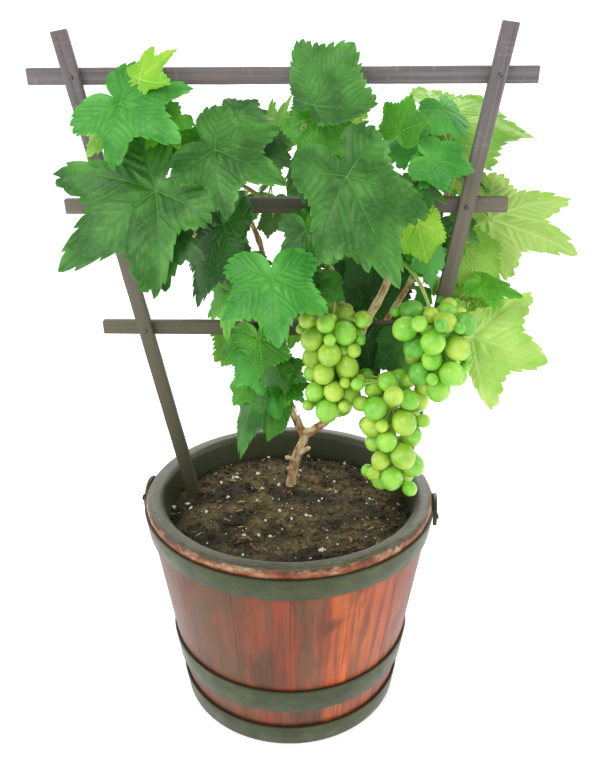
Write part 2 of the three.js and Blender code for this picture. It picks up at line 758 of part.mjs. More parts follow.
// The rule: leaves stand to the left and right in turn, look the way their shoot faces, and hang.
function ruleLeaf(shoot, slot, attempt, draw) {
  const [d0, d1, d2, d3, d4, d5, d6, d7] = Array.from({ length: 8 }, draw);
  const faces = vector(shoot.faces).normalize();
  const share = mix(0.1, 1, (slot + d0) / shoot.leaves);
  const start = shoot.stem.getPoint(share);
  const heading = shoot.stem
    .getTangent(share)
    .cross(faces)
    .normalize()
    .multiplyScalar((slot % 2 ? 1 : -1) * (0.3 + d1))
    .addScaledVector(faces, 0.1 + 0.9 * d2)
    .addScaledVector(up, d3 - 0.4)
    .normalize();
  const length = shoot.leafLength * (1.15 - 0.4 * d4) * (1 - 0.025 * attempt);
  const at = start.clone().addScaledVector(heading, length * (0.45 + 0.5 * d5));
  const along = heading.clone().multiplyScalar(0.7).addScaledVector(up, -0.3 - 0.9 * d6).normalize();
  const look = faces.clone().addScaledVector(up, 0.5).addScaledVector(heading, 0.5 * (d7 - 0.5));
  const [sinus, fall] = [0.15 + 0.2 * d5, 0.1 + 0.25 * d2];
  return { start, leaf: leafOf({ at, along, up: look, length, sinus, fall }) };
}

function leadLeaf(shoot, lead) {
  const at = vector(lead.at);
  const midrib = vector(lead.tip).sub(at);
  const length = midrib.length();
  const along = midrib.normalize();
  const start = shoot.stem.getPoint(lead.stem);
  return { start, leaf: leafOf({ ...lead, at, along, up: vector(lead.faces), length }) };
}

for (const shoot of shoots) {
  const [limb, share] = shoot.from;
  const start = limbCurves.get(limb).getPointAt(share);
  const end = vector(shoot.to);
  const bow = start.clone().lerp(end, 0.5);
  bow.addScaledVector(vector(shoot.faces).normalize(), 0.12 * start.distanceTo(end));
  shoot.stem = new THREE.QuadraticBezierCurve3(start, bow, end);
  const radiusAt = (t) => mix(...shootRadius, t);
  shoot.solid = solidOf(tube(shoot.stem, 4, stemSides, radiusAt));
  for (const { cutter } of limbs) shoot.solid = shoot.solid.subtract(cutter);
  shoot.solid = mainPiece(shoot.solid);
  keepClearOf(solidOf(tube(shoot.stem, 4, stemSides, radiusAt, clear)), shoot.name);
}

function isFree({ name }, { start, leaf }) {
  return !touches(bladeSolid(leaf, clear), name) && !touches(stalkSolid(leaf, start, clear), name);
}
function addLeaf(shoot, { start, leaf }) {
  keepClearOf(bladeSolid(leaf));
  keepClearOf(stalkSolid(leaf, start), shoot.name);
  shoot.solid = shoot.solid.add(stalkSolid(leaf, start)).add(bladeSolid(leaf));
}
for (const shoot of shoots) {
  for (const lead of shoot.leads) addLeaf(shoot, leadLeaf(shoot, lead));
}
for (const shoot of shoots) {
  const draw = seeded(shoot.seed);
  for (let slot = 0; slot < shoot.leaves; slot += 1) {
    const offers = Array.from({ length: tries }, (_, attempt) => ruleLeaf(shoot, slot, attempt, draw));
    const free = offers.find((offer) => isFree(shoot, offer));
    if (free) addLeaf(shoot, free);
  }
  addMesh(shoot.name, geometryOf(shoot.solid), colour.leaf);
}

export default vine;
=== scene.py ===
"""A potted grapevine: a young vine with three bunches of grapes, in a half-barrel tub, trained on laths."""

import json
import math
import random
from contextlib import contextmanager

import bmesh
import bpy
import numpy as np
from mathutils import Matrix, Vector, kdtree, noise

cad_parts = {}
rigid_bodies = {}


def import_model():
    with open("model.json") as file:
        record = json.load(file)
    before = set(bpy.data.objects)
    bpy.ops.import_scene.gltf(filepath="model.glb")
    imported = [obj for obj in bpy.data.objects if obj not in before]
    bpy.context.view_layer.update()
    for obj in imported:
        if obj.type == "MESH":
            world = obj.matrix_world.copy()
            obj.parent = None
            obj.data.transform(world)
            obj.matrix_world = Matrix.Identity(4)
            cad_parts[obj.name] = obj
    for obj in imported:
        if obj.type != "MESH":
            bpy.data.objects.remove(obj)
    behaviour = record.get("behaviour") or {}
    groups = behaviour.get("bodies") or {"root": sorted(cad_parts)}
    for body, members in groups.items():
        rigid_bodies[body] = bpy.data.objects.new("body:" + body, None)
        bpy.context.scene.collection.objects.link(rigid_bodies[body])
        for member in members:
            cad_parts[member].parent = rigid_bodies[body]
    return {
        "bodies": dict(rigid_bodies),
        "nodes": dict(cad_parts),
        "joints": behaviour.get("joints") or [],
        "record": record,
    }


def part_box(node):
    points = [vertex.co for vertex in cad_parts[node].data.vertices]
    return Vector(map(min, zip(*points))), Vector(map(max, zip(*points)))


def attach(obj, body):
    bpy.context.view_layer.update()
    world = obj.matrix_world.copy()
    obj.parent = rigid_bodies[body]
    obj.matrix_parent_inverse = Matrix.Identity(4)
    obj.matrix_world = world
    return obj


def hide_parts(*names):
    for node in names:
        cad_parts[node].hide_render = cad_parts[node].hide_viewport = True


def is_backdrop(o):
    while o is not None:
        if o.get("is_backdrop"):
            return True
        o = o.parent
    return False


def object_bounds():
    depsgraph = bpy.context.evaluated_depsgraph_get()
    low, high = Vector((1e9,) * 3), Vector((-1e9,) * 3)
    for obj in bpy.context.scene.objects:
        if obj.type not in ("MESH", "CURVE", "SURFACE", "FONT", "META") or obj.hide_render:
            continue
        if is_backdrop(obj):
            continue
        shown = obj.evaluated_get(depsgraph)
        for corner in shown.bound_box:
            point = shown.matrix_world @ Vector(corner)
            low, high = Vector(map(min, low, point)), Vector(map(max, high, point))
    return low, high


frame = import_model()
cad_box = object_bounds()
mm = 0.001

# ---- Staves ----
# Sixteen tapered softwood staves stand edge to edge and make the wall of the tub. They are stained red
# and thinly varnished. The rim is rounded over and painted: worn grey on its top, olive down the inside.


def begin(name, form, **sizes):
    """A new piece, from one of Blender's simple forms."""
    bpy.ops.object.select_all(action="DESELECT")
    getattr(bpy.ops.mesh, f"primitive_{form}_add")(**sizes)
    piece = bpy.context.object
    piece.name = name
    return piece


def pick_only(piece):
    """Selects this piece and nothing else."""
    bpy.ops.object.select_all(action="DESELECT")
    piece.select_set(True)
    bpy.context.view_layer.objects.active = piece


@contextmanager
def editing(all_of_it=True):
    """Edit mode for the active piece, with all of it or what was last selected, and object mode after."""
    bpy.ops.object.mode_set(mode="EDIT")
    if all_of_it:
        bpy.ops.mesh.select_all(action="SELECT")
    yield
    bpy.ops.object.mode_set(mode="OBJECT")


def select_edges(piece, wanted):
    """In edit mode, selects the edges whose two corners pass the test."""
    bpy.ops.mesh.select_mode(type="EDGE")
    bpy.ops.mesh.select_all(action="DESELECT")
    shape = bmesh.from_edit_mesh(piece.data)
    for edge in shape.edges:
        edge.select_set(wanted(*(corner.co for corner in edge.verts)))
    shape.select_flush_mode()
    bmesh.update_edit_mesh(piece.data)


def apply_modifier(piece, kind, **settings):
    """Adds a modifier and applies it at once."""
    pick_only(piece)
    modifier = piece.modifiers.new(kind.title(), kind)
    for name, value in settings.items():
        setattr(modifier, name, value)
    bpy.ops.object.modifier_apply(modifier=modifier.name)


def clean(piece):
    """Merges doubled corners and turns every face outwards."""
    pick_only(piece)
    with editing():
        bpy.ops.mesh.remove_doubles(threshold=0.01 * mm)
        bpy.ops.mesh.normals_make_consistent(inside=False)


def keep_grain(piece, place):
    """Stores where each corner lies in the stock that it was cut from, for a pattern along the grain."""
    layer = piece.data.attributes.new("grain", "FLOAT_VECTOR", "POINT")
    for corner in piece.data.vertices:
        layer.data[corner.index].vector = place(corner.co)


def seat(piece, nodes=(), smooth=35):
    """A finished piece: smooth over gentle angles, and standing for its solids."""
    pick_only(piece)
    bpy.ops.object.transform_apply(location=True, rotation=True, scale=True)
    bpy.ops.object.shade_smooth_by_angle(angle=math.radians(smooth))
    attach(piece, "root")
    if nodes:
        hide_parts(*nodes)


def copy_of(piece, name, matrix):
    """A copy with a mesh of its own, moved by the matrix."""
    copy = bpy.data.objects.new(name, piece.data.copy())
    bpy.context.scene.collection.objects.link(copy)
    copy.data.transform(matrix)
    return copy


def shade(red, green, blue):
    """A colour as the eye names it, from 0 to 255, as the shader wants it."""
    return tuple(((c / 255 + 0.055) / 1.055) ** 2.4 for c in (red, green, blue)) + (1,)


class Finish:
    """A surface finish: its shader, and the nodes that vary it over the piece."""

    def __init__(self, name, **shader):
        self.material = bpy.data.materials.new(name)
        self.material.use_nodes = True
        self.tree = self.material.node_tree
        self.shader = self.tree.nodes["Principled BSDF"]
        for socket, value in shader.items():
            self.feed(self.shader.inputs[socket.replace("_", " ")], value)

    def feed(self, socket, value):
        if isinstance(value, bpy.types.NodeSocket):
            self.tree.links.new(value, socket)
        else:
            socket.default_value = value

    def node(self, kind, **inputs):
        node = self.tree.nodes.new("ShaderNode" + kind)
        for name, value in inputs.items():
            self.feed(node.inputs[name], value)
        return node

    def stretched(self, vector, scale):
        """A vector stretched by three scales, or by one for all three."""
        scales = scale if isinstance(scale, tuple) else (scale, scale, scale)
        return self.node("Mapping", Vector=vector, Scale=scales).outputs[0]

    def place(self, scale):
        """The piece's own coordinates, stretched."""
        return self.stretched(self.node("TexCoord").outputs["Object"], scale)

    def stored(self, name, output="Fac"):
        """What the piece's corners store under this name."""
        node = self.node("Attribute")
        node.attribute_name = name
        return node.outputs[output]

    def grain(self, scale=1):
        """The place in the stock that the piece was cut from, stretched."""
        return self.stretched(self.stored("grain", "Vector"), scale)

    def noise(self, vector, scale=1, detail=3, roughness=0.5, distortion=0):
        inputs = {"Vector": vector, "Scale": scale, "Detail": detail, "Roughness": roughness}
        return self.node("TexNoise", Distortion=distortion, **inputs).outputs["Fac"]

    def axis(self, vector, name):
        return self.node("SeparateXYZ", Vector=vector).outputs[name]

    def ramp(self, fac, *stops):
        """Colours or greys along a scale from 0 to 1, from (place, colour) pairs."""
        node = self.node("ValToRGB", Fac=fac)
        points = node.color_ramp.elements
        while len(points) < len(stops):
            points.new(0.5)
        for point, (where, colour) in zip(points, stops):
            point.position = where
            point.color = colour if isinstance(colour, tuple) else (colour, colour, colour, 1)
        return node.outputs["Color"]

    def mix(self, fac, first, second, how="MIX"):
        node = self.tree.nodes.new("ShaderNodeMix")
        node.data_type, node.blend_type = "RGBA", how
        for socket, value in zip((0, 6, 7), (fac, first, second)):
            self.feed(node.inputs[socket], value)
        return node.outputs[2]

    def over(self, base, fac, colour, *stops):
        """Lays a colour over the base, as much as (place, share) pairs say along a scale from 0 to 1."""
        return self.mix(self.ramp(fac, *stops), base, shade(*colour))

    def combine(self, how, first, second):
        node = self.tree.nodes.new("ShaderNodeMath")
        node.operation = how
        self.feed(node.inputs[0], first)
        self.feed(node.inputs[1], second)
        return node.outputs[0]

    def bump(self, height, distance, strength=1.0):
        """Relief, with its height in metres."""
        node = self.node("Bump", Height=height, Distance=distance, Strength=strength)
        self.feed(self.shader.inputs["Normal"], node.outputs[0])

    def colour(self, value):
        self.feed(self.shader.inputs["Base Color"], value)

    def rough(self, value):
        self.feed(self.shader.inputs["Roughness"], value)


def one_pattern(name, scale, detail, relief, *stops, **shader):
    """A plain finish: one fine pattern gives its colours, from (place, colour) pairs, and its relief."""
    finish = Finish(name, **shader)
    pattern = finish.noise(finish.place(scale), detail=detail)
    finish.colour(finish.ramp(pattern, *((where, shade(*colour)) for where, colour in stops)))
    if relief:
        finish.bump(pattern, relief)
    return finish


stave_count = 16
step_angle = 2 * math.pi / stave_count
tub_height, rim_radius, foot_radius = 181 * mm, 115 * mm, 88 * mm
wall, rim_round, joint = 14 * mm, 5 * mm, 0.3 * mm
seam = 0.05 * mm


def outer_at(z):
    return foot_radius + (rim_radius - foot_radius) * z / tub_height


stave = begin("first_stave", "plane", size=wall)
start = seam / 2 / foot_radius
section = []
for radius, z in ((foot_radius, 0), (rim_radius, tub_height)):
    section += [(radius - wall, z), (radius, z)]
for corner, (radius, z) in zip(stave.data.vertices, section):
    corner.co = (radius * math.cos(start), radius * math.sin(start), z)
with editing():
    bpy.ops.mesh.spin(steps=8, angle=step_angle - 2 * start, center=(0, 0, 0), axis=(0, 0, 1))
clean(stave)


def on_rim(a, b):
    return min(a.z, b.z) > tub_height - mm and abs(a.xy.length - b.xy.length) < mm


def on_foot(a, b):
    return max(a.z, b.z) < mm and abs(a.xy.length - b.xy.length) < mm


def on_joint(a, b):
    turns = [math.atan2(corner.y, corner.x) for corner in (a, b)]
    outside = min(a.xy.length - outer_at(a.z), b.xy.length - outer_at(b.z)) > -rim_round
    below_rim = min(a.z, b.z) < tub_height - 2 * rim_round
    return outside and below_rim and (max(turns) < 2 * start or min(turns) > step_angle - 2 * start)


with editing():
    for edges, width, cuts in ((on_rim, rim_round, 5), (on_foot, 1.4 * mm, 2), (on_joint, 0.22 * mm, 1)):
        select_edges(stave, edges)
        bpy.ops.mesh.bevel(offset=width, segments=cuts, affect="EDGES")

stain = Finish("stained_stave_wood", Specular_IOR_Level=0.25, Coat_Weight=0.18, Coat_Roughness=0.3)
fibre = stain.noise(stain.grain((520, 300, 14)), detail=4, roughness=0.6)
streak = stain.noise(stain.grain((120, 120, 9)), detail=4, distortion=0.5)
patch = stain.noise(stain.grain((28, 28, 15)), detail=3, distortion=0.6)
round_tub = stain.combine("MULTIPLY", stain.axis(stain.grain(), "X"), 1 / (2 * math.pi * rim_radius))
wander = stain.combine("MULTIPLY", stain.combine("SUBTRACT", patch, 0.5), 0.16)
round_tub = stain.combine("ADD", round_tub, wander)
red = stain.ramp(
    fibre,
    (0.3, shade(104, 46, 26)),
    (0.46, shade(126, 54, 30)),
    (0.58, shade(140, 62, 34)),
    (0.75, shade(160, 80, 46)),
)
tone = stain.ramp(streak, (0.36, shade(92, 56, 34)), (0.5, shade(136, 58, 32)), (0.66, shade(166, 90, 48)))
red = stain.mix(0.45, red, tone)
ruddy = stain.noise(stain.grain((46, 46, 11)), detail=3, distortion=0.8)
red = stain.over(red, ruddy, (108, 74, 46), (0.38, 0.8), (0.5, 0.0))
red = stain.over(red, ruddy, (172, 64, 42), (0.54, 0.0), (0.68, 0.6))
orange = stain.ramp(round_tub, (0.53, 0.0), (0.57, 0.7), (0.61, 0.3), (0.68, 0.0))
glow = stain.combine("MULTIPLY", orange, stain.ramp(streak, (0.42, 0.25), (0.56, 1.0)))
red = stain.mix(glow, red, shade(218, 112, 36))
faded = stain.ramp(round_tub, (0.3, 0.9), (0.43, 0.8), (0.475, 0.2), (0.54, 0.0), (0.84, 0.0), (0.94, 0.6))
faded = stain.combine("MULTIPLY", faded, stain.ramp(patch, (0.4, 0.6), (0.52, 1.0)))
red = stain.mix(faded, red, shade(86, 62, 36))
red = stain.over(red, patch, (74, 42, 24), (0.38, 0.6), (0.48, 0.0))
height = stain.combine("MULTIPLY", stain.axis(stain.grain(), "Z"), 1 / tub_height)
scuffed = stain.combine("ADD", height, stain.combine("MULTIPLY", patch, 0.02))
worn = stain.ramp(scuffed, (0.962, 0.0), (0.975, 0.85))
bare = stain.ramp(
    stain.noise(stain.grain((60, 60, 120)), detail=4, roughness=0.65),
    (0.34, shade(66, 48, 34)),
    (0.46, shade(142, 74, 46)),
    (0.56, shade(178, 122, 84)),
    (0.68, shade(208, 188, 160)),
)
red = stain.mix(worn, red, bare)
ragged = stain.noise(stain.grain(110), detail=4, roughness=0.7)
ragged = stain.combine("MULTIPLY", stain.combine("SUBTRACT", ragged, 0.5), 0.09)
ragged = stain.combine("ADD", height, ragged)
red = stain.over(red, ragged, (70, 68, 50), (0.99, 0.0), (0.994, 0.9))
# Dark bands painted along the edges of each hoop, at the foot of the tub and near the top of the rim:
# painted shade where the hoops stand off the staves and where the tub meets the floor.
crevice_shade = (
    (0.0, 0.35), (0.012, 0.0), (0.105, 0.0), (0.116, 0.6), (0.13, 0.0), (0.205, 0.0), (0.214, 0.45),
    (0.335, 0.3), (0.345, 0.0), (0.85, 0.0), (0.86, 0.4), (0.956, 0.5), (0.966, 0.1), (0.99, 0.3),
)
stain.colour(stain.over(red, height, (50, 32, 22), *crevice_shade))
stain.rough(stain.ramp(fibre, (0.3, 0.52), (0.7, 0.36)))
stain.bump(fibre, 0.12 * mm)

rim_paint = Finish("rim_paint", Roughness=0.5, Coat_Weight=0.25, Coat_Roughness=0.35)
depth = rim_paint.axis(rim_paint.grain((1, 1 / wall, 1)), "Y")
brush = rim_paint.noise(rim_paint.grain((26, 1300, 90)), detail=3, roughness=0.6)
worn_through = rim_paint.noise(rim_paint.grain((90, 160, 160)), detail=4)
grime = rim_paint.noise(rim_paint.grain((30, 60, 20)), detail=3)
coat = rim_paint.ramp(depth, (0.0, shade(88, 84, 64)), (0.5, shade(94, 92, 72)), (0.85, shade(50, 59, 25)))
on_top = rim_paint.ramp(depth, (0.7, 1.0), (0.85, 0.0))
strokes = rim_paint.combine("MULTIPLY", on_top, rim_paint.ramp(brush, (0.5, 0.0), (0.72, 0.5)))
coat = rim_paint.mix(strokes, coat, shade(150, 150, 134))
coat = rim_paint.over(coat, grime, (56, 54, 30), (0.42, 0.5), (0.6, 0.0))
pits = rim_paint.noise(rim_paint.place(520), detail=3, roughness=0.7)
pitted = rim_paint.combine("MULTIPLY", on_top, rim_paint.ramp(pits, (0.38, 0.75), (0.5, 0.0)))
coat = rim_paint.mix(pitted, coat, shade(44, 38, 26))
flaked = rim_paint.combine("MULTIPLY", on_top, rim_paint.ramp(worn_through, (0.32, 0.85), (0.42, 0.0)))
coat = rim_paint.mix(flaked, coat, shade(58, 44, 34))
rim_paint.colour(coat)
rim_paint.bump(rim_paint.combine("MULTIPLY", brush, on_top), 0.1 * mm)

stave.data.materials.append(stain.material)
stave.data.materials.append(rim_paint.material)
for face in stave.data.polygons:
    middle = face.center
    inside = outer_at(middle.z) - middle.xy.length > 0.55 * wall
    upmost = middle.z > tub_height - 0.28 * rim_round
    face.material_index = int(inside or upmost)
for i in range(stave_count):
    name = f"{i + 1:02d}"
    turn = Matrix.Rotation(i * step_angle, 4, "Z")
    piece = copy_of(stave, "tub_stave_" + name, turn)

    def in_stave(corner, i=i):
        from_middle = math.atan2(corner.y, corner.x) - (i + 0.5) * step_angle
        local = (from_middle + math.pi) % (2 * math.pi) - math.pi
        around = (i - stave_count / 4) % stave_count + 0.5 + local / step_angle
        return (around * step_angle * rim_radius, outer_at(corner.z) - corner.xy.length, corner.z)

    keep_grain(piece, in_stave)
    seat(piece, ["stave_" + name])
bpy.data.objects.remove(stave)

# ---- Bottom board ----
# A plain sawn board closes the tub level with the feet of the staves. It is pushed in from below.
sawn = ((0.3, (112, 76, 50)), (0.55, (150, 108, 72)), (0.75, (176, 134, 94)))
board = one_pattern("sawn_board", (12, 380, 380), 4, 0.2 * mm, *sawn, Roughness=0.8)
frame["nodes"]["bottom_board"].data.materials.clear()
frame["nodes"]["bottom_board"].data.materials.append(board.material)

# ---- Hoops ----
# Three flat steel hoops, driven down over the staves and painted dark olive. Each is one strip bent to
# the slope of the wall, lapped behind the tub and riveted twice.
hoop_thickness, lap_thickness = 2.05 * mm, 0.8 * mm
lap_angle = math.radians(7)
# The lower and upper edge of each hoop, over the foot of the tub.
hoop_sizes = {"hoop_top": (156, 174), "hoop_middle": (39, 61), "hoop_foot": (1, 20)}

hoop_paint = Finish("hoop_paint", Specular_IOR_Level=0.35, Coat_Weight=0.12, Coat_Roughness=0.25)
mottle = hoop_paint.noise(hoop_paint.place((60, 60, 90)), detail=5, roughness=0.6)
scratch = hoop_paint.noise(hoop_paint.grain((14, 900, 900)), detail=3)
dark, olive, light = shade(42, 54, 20), shade(57, 69, 29), shade(76, 88, 44)
olive = hoop_paint.ramp(mottle, (0.32, dark), (0.55, olive), (0.75, light))
olive = hoop_paint.over(olive, scratch, (120, 120, 104), (0.66, 0.0), (0.74, 0.3))
edge = hoop_paint.axis(hoop_paint.grain(), "Z")
edge_dirt = ((0.0, 0.75), (0.07, 0.1), (0.86, 0.0), (0.97, 0.8))
hoop_paint.colour(hoop_paint.over(olive, edge, (42, 33, 22), *edge_dirt))
hoop_paint.rough(hoop_paint.ramp(mottle, (0.3, 0.5), (0.7, 0.36)))
hoop_paint.bump(mottle, 0.08 * mm)

dome = begin("rivet_dome", "uv_sphere", segments=16, ring_count=8, radius=1)
with editing():
    bpy.ops.mesh.bisect(plane_co=(0, 0, 0), plane_no=(0, 0, 1), use_fill=True, clear_inner=True)


def domes(name, places):
    """Round heads of rivets or nails, joined: (place, the way it looks, radius, height) for each."""
    copies = []
    for at, look, radius, rise in places:
        turn = Vector(look).to_track_quat("Z", "Y").to_matrix().to_4x4()
        matrix = Matrix.Translation(at) @ turn @ Matrix.Diagonal((radius, radius, rise, 1))
        copies.append(copy_of(dome, name, matrix))
    pick_only(copies[0])
    for other in copies:
        other.select_set(True)
    bpy.ops.object.join()
    copies[0].name = name
    return copies[0]


for name, (low, high) in hoop_sizes.items():
    low, high = low * mm, high * mm
    middle = (low + high) / 2
    ring = {"vertices": 128, "radius": outer_at(middle), "depth": high - low, "location": (0, 0, middle)}
    hoop = begin("steel_" + name, "cylinder", end_fill_type="NOTHING", **ring)
    bpy.ops.object.transform_apply(location=True)
    for corner in hoop.data.vertices:
        corner.co.xy *= (outer_at(corner.co.z) + 0.05 * mm) / corner.co.xy.length
    lap = copy_of(hoop, "lap_of_" + name, Matrix.Identity(4))
    pick_only(lap)
    with editing():
        for side in (-1, 1):
            bpy.ops.mesh.select_all(action="SELECT")
            turn = math.pi / 2 + side * lap_angle
            normal = (-side * math.sin(turn), side * math.cos(turn), 0)
            bpy.ops.mesh.bisect(plane_co=(0, 0, 0), plane_no=normal, clear_outer=True)
        bpy.ops.mesh.select_all(action="SELECT")
        bpy.ops.mesh.bisect(plane_co=(0, 0, 0), plane_no=(0, -1, 0), clear_outer=True)
    for corner in lap.data.vertices:
        corner.co.xy *= (corner.co.xy.length + hoop_thickness) / corner.co.xy.length
    apply_modifier(hoop, "SOLIDIFY", thickness=hoop_thickness, offset=1)
    apply_modifier(lap, "SOLIDIFY", thickness=lap_thickness, offset=1)
    apply_modifier(hoop, "BEVEL", width=0.45 * mm, segments=2, limit_method="ANGLE")
    rivets = []
    for side in (-1, 1):
        turn = math.pi / 2 + side * 0.55 * lap_angle
        look = Vector((math.cos(turn), math.sin(turn), -0.15))
        face = outer_at(middle) + hoop_thickness + lap_thickness
        rivets.append(((face * look.x, face * look.y, middle), look, 2.4 * mm, 1.1 * mm))
    heads = domes("rivets_of_" + name, rivets)
    pick_only(hoop)
    lap.select_set(True)
    heads.select_set(True)
    bpy.ops.object.join()
    clean(hoop)

    def on_hoop(corner, low=low, high=high):
        around = math.atan2(corner.y, corner.x)
        return (around * rim_radius, corner.xy.length - outer_at(corner.z), (corner.z - low) / (high - low))

    keep_grain(hoop, on_hoop)
    hoop.data.materials.append(hoop_paint.material)
    seat(hoop, [name])

# ---- Handles ----
# Two flat bars, each bent into a U that hangs on the top hoop, with a rivet through each end.
handle_width, handle_drop, bar_width, bar_thick = 30 * mm, 24 * mm, 4 * mm, 3 * mm
handle_top = 172 * mm
hoop_face = outer_at(handle_top) + 2.1 * mm
handle_reach = math.sqrt(hoop_face**2 - (handle_width / 2) ** 2) + bar_thick / 2

handle = begin("bent_bar", "plane", size=1)
for corner in handle.data.vertices:
    corner.co = (corner.co.x * bar_thick, -handle_width / 2 + corner.co.y * bar_width, 0)
bend = handle_width / 2 - handle_drop
with editing():
    bpy.ops.mesh.extrude_region_move(TRANSFORM_OT_translate={"value": (0, 0, bend)})
    bpy.ops.mesh.spin(steps=14, angle=math.pi, center=(0, 0, bend), axis=(1, 0, 0))
    bpy.ops.mesh.extrude_region_move(TRANSFORM_OT_translate={"value": (0, 0, -bend)})
clean(handle)
sharp = math.radians(50)
apply_modifier(handle, "BEVEL", width=0.8 * mm, segments=3, limit_method="ANGLE", angle_limit=sharp)
ends = [Vector((bar_thick / 2, side * handle_width / 2, -1.6 * mm)) for side in (-1, 1)]
heads = domes("handle_rivets", [(end, (1, 0, 0.12), 2.7 * mm, 1.3 * mm) for end in ends])
pick_only(handle)
heads.select_set(True)
bpy.ops.object.join()
keep_grain(handle, lambda corner: (corner.z, corner.x, 0.5))
handle.data.materials.append(hoop_paint.material)
for side, turn in (("right", -8), ("left", 172)):
    place = Matrix.Rotation(math.radians(turn), 4, "Z") @ Matrix.Translation((handle_reach, 0, handle_top))
    piece = copy_of(handle, "bent_handle_" + side, place)
    seat(piece, ["handle_" + side])
bpy.data.objects.remove(handle)

# ---- Soil ----
# Loose potting soil fills the tub nearly to the rim. It heaps a little round the vine, sinks at the wall,
# and is full of crumbs, white perlite grains and scraps of bark and straw.
soil_level, board_top = 163 * mm, 12.3 * mm
soil_radius = outer_at(soil_level) - wall - joint
trunk_foot = Vector((1, 29, 0)) * mm

middle = (0, 0, soil_level)
soil = begin("potting_soil", "circle", vertices=128, radius=soil_radius, fill_type="NGON", location=middle)
bpy.ops.object.transform_apply(location=True)
with editing():
    for ring in range(22):
        bpy.ops.mesh.inset(thickness=4.1 * mm)
    bpy.ops.mesh.poke()
    bpy.ops.mesh.select_all(action="SELECT")
    bpy.ops.mesh.subdivide(number_cuts=1)


def soil_height(x, y):
    """How high the soil lies at a place in the tub."""
    out = math.hypot(x, y) / soil_radius
    place = Vector((x, y, 0)) / mm
    mound = 2.5 * math.exp(-(((x - trunk_foot.x) ** 2 + (y - trunk_foot.y) ** 2) / (28 * mm) ** 2))
    heaps = 2.0 * noise.noise(place / 19) + 1.1 * noise.noise(place / 7.5)
    crumbs = 0.9 * noise.noise(place / 3.1) + 0.6 * abs(noise.noise(place / 1.7))
    sunk = -5.5 * max(0.0, (out - 0.8) / 0.2) ** 1.5
    return soil_level + (mound + heaps + crumbs + sunk - 0.8) * mm


for corner in soil.data.vertices:
    corner.co.z = soil_height(corner.co.x, corner.co.y)
with editing():
    select_edges(soil, lambda a, b: min(a.xy.length, b.xy.length) > soil_radius - 0.3 * mm)
    bpy.ops.mesh.extrude_region_move()
low_radius = outer_at(board_top) - wall - joint
for corner in soil.data.vertices:
    if corner.select:
        corner.co.xy *= low_radius / corner.co.xy.length
        corner.co.z = board_top
with editing(all_of_it=False):
    bpy.ops.mesh.edge_face_add()
clean(soil)

earth = Finish("potting_soil", Roughness=0.96)
clump = earth.noise(earth.place(110), detail=4, roughness=0.65)
speck = earth.noise(earth.place(700), detail=3, roughness=0.7)
brown = earth.ramp(clump, (0.34, shade(34, 27, 14)), (0.5, shade(70, 59, 33)), (0.68, shade(118, 101, 62)))
brown = earth.over(brown, speck, (134, 117, 76), (0.45, 0.0), (0.7, 0.75))
# The soil is painted darker in a ring along the tub's wall: painted shade that the wall casts on the soil.
wall_shade = earth.node("TexGradient", Vector=earth.place((1 / soil_radius, 1 / soil_radius, 0)))
wall_shade.gradient_type = "SPHERICAL"
brown = earth.over(brown, wall_shade.outputs["Fac"], (36, 31, 16), (0.03, 0.6), (0.4, 0.0))
patchy = earth.noise(earth.place(30), detail=3)
brown = earth.over(brown, patchy, (26, 22, 11), (0.42, 0.75), (0.54, 0.0))
earth.colour(brown)
earth.bump(speck, 0.7 * mm)
soil.data.materials.append(earth.material)
seat(soil, ["soil"], smooth=60)


class Stock:
    """Corners and faces gathered for one joined mesh, each face with its finish."""

    def __init__(self):
        self.corners, self.faces, self.finishes, self.values, self.count = [], [], [], [], 0

    def add(self, corners, faces, finish=0, value=0.0):
        self.corners.append(np.asarray(corners, float))
        self.faces += [[corner + self.count for corner in face] for face in faces]
        finishes = finish if isinstance(finish, list) else [finish] * len(faces)
        self.finishes += finishes
        self.values.append(np.broadcast_to(value, len(corners)))
        self.count += len(corners)

    def piece(self, name, finishes, value_name=None):
        mesh = bpy.data.meshes.new(name)
        mesh.from_pydata(np.concatenate(self.corners).tolist(), [], self.faces)
        for finish in finishes:
            mesh.materials.append(finish.material)
        mesh.polygons.foreach_set("material_index", self.finishes)
        if value_name:
            layer = mesh.attributes.new(value_name, "FLOAT", "POINT")
            layer.data.foreach_set("value", np.concatenate(self.values).astype(np.float32))
        piece = bpy.data.objects.new(name, mesh)
        bpy.context.scene.collection.objects.link(piece)
        return piece


def pebble(level, lumps, seed):
    """One lumpy grain, of radius 1 before it is sized: its corners and faces."""
    grain = begin("pebble", "ico_sphere", subdivisions=level, radius=1)
    for corner in grain.data.vertices:
        corner.co *= 1 + lumps * noise.noise(corner.co * 1.3 + Vector((seed, 0, 0)))
    corners = np.array([corner.co for corner in grain.data.vertices])
    faces = [list(face.vertices) for face in grain.data.polygons]
    bpy.data.objects.remove(grain)
    return corners, faces


def strewn(name, grains, count, sizes, flat, finish, seed):
    """Many grains strewn over the soil and joined into one piece."""
    chance = random.Random(seed)
    least, most = sizes
    stock = Stock()
    for _ in range(count):
        radius = soil_radius * 0.985 * math.sqrt(chance.random())
        turn = chance.uniform(0, 2 * math.pi)
        x, y = radius * math.cos(turn), radius * math.sin(turn)
        size = (least + (most - least) * chance.random() ** 2) * mm
        spin = Matrix.Rotation(chance.uniform(0, 6.3), 3, "Z")
        spin = spin @ Matrix.Rotation(chance.uniform(-0.5, 0.5), 3, "X")
        shape = Matrix.Diagonal((1, chance.uniform(*flat), chance.uniform(*flat)))
        corners, faces = chance.choice(grains)
        moved = corners @ np.array(spin @ shape).T * size
        lift = soil_height(x, y) + 0.35 * size
        stock.add(moved + [x, y, lift], faces)
    seat(stock.piece(name, [finish]), smooth=40)


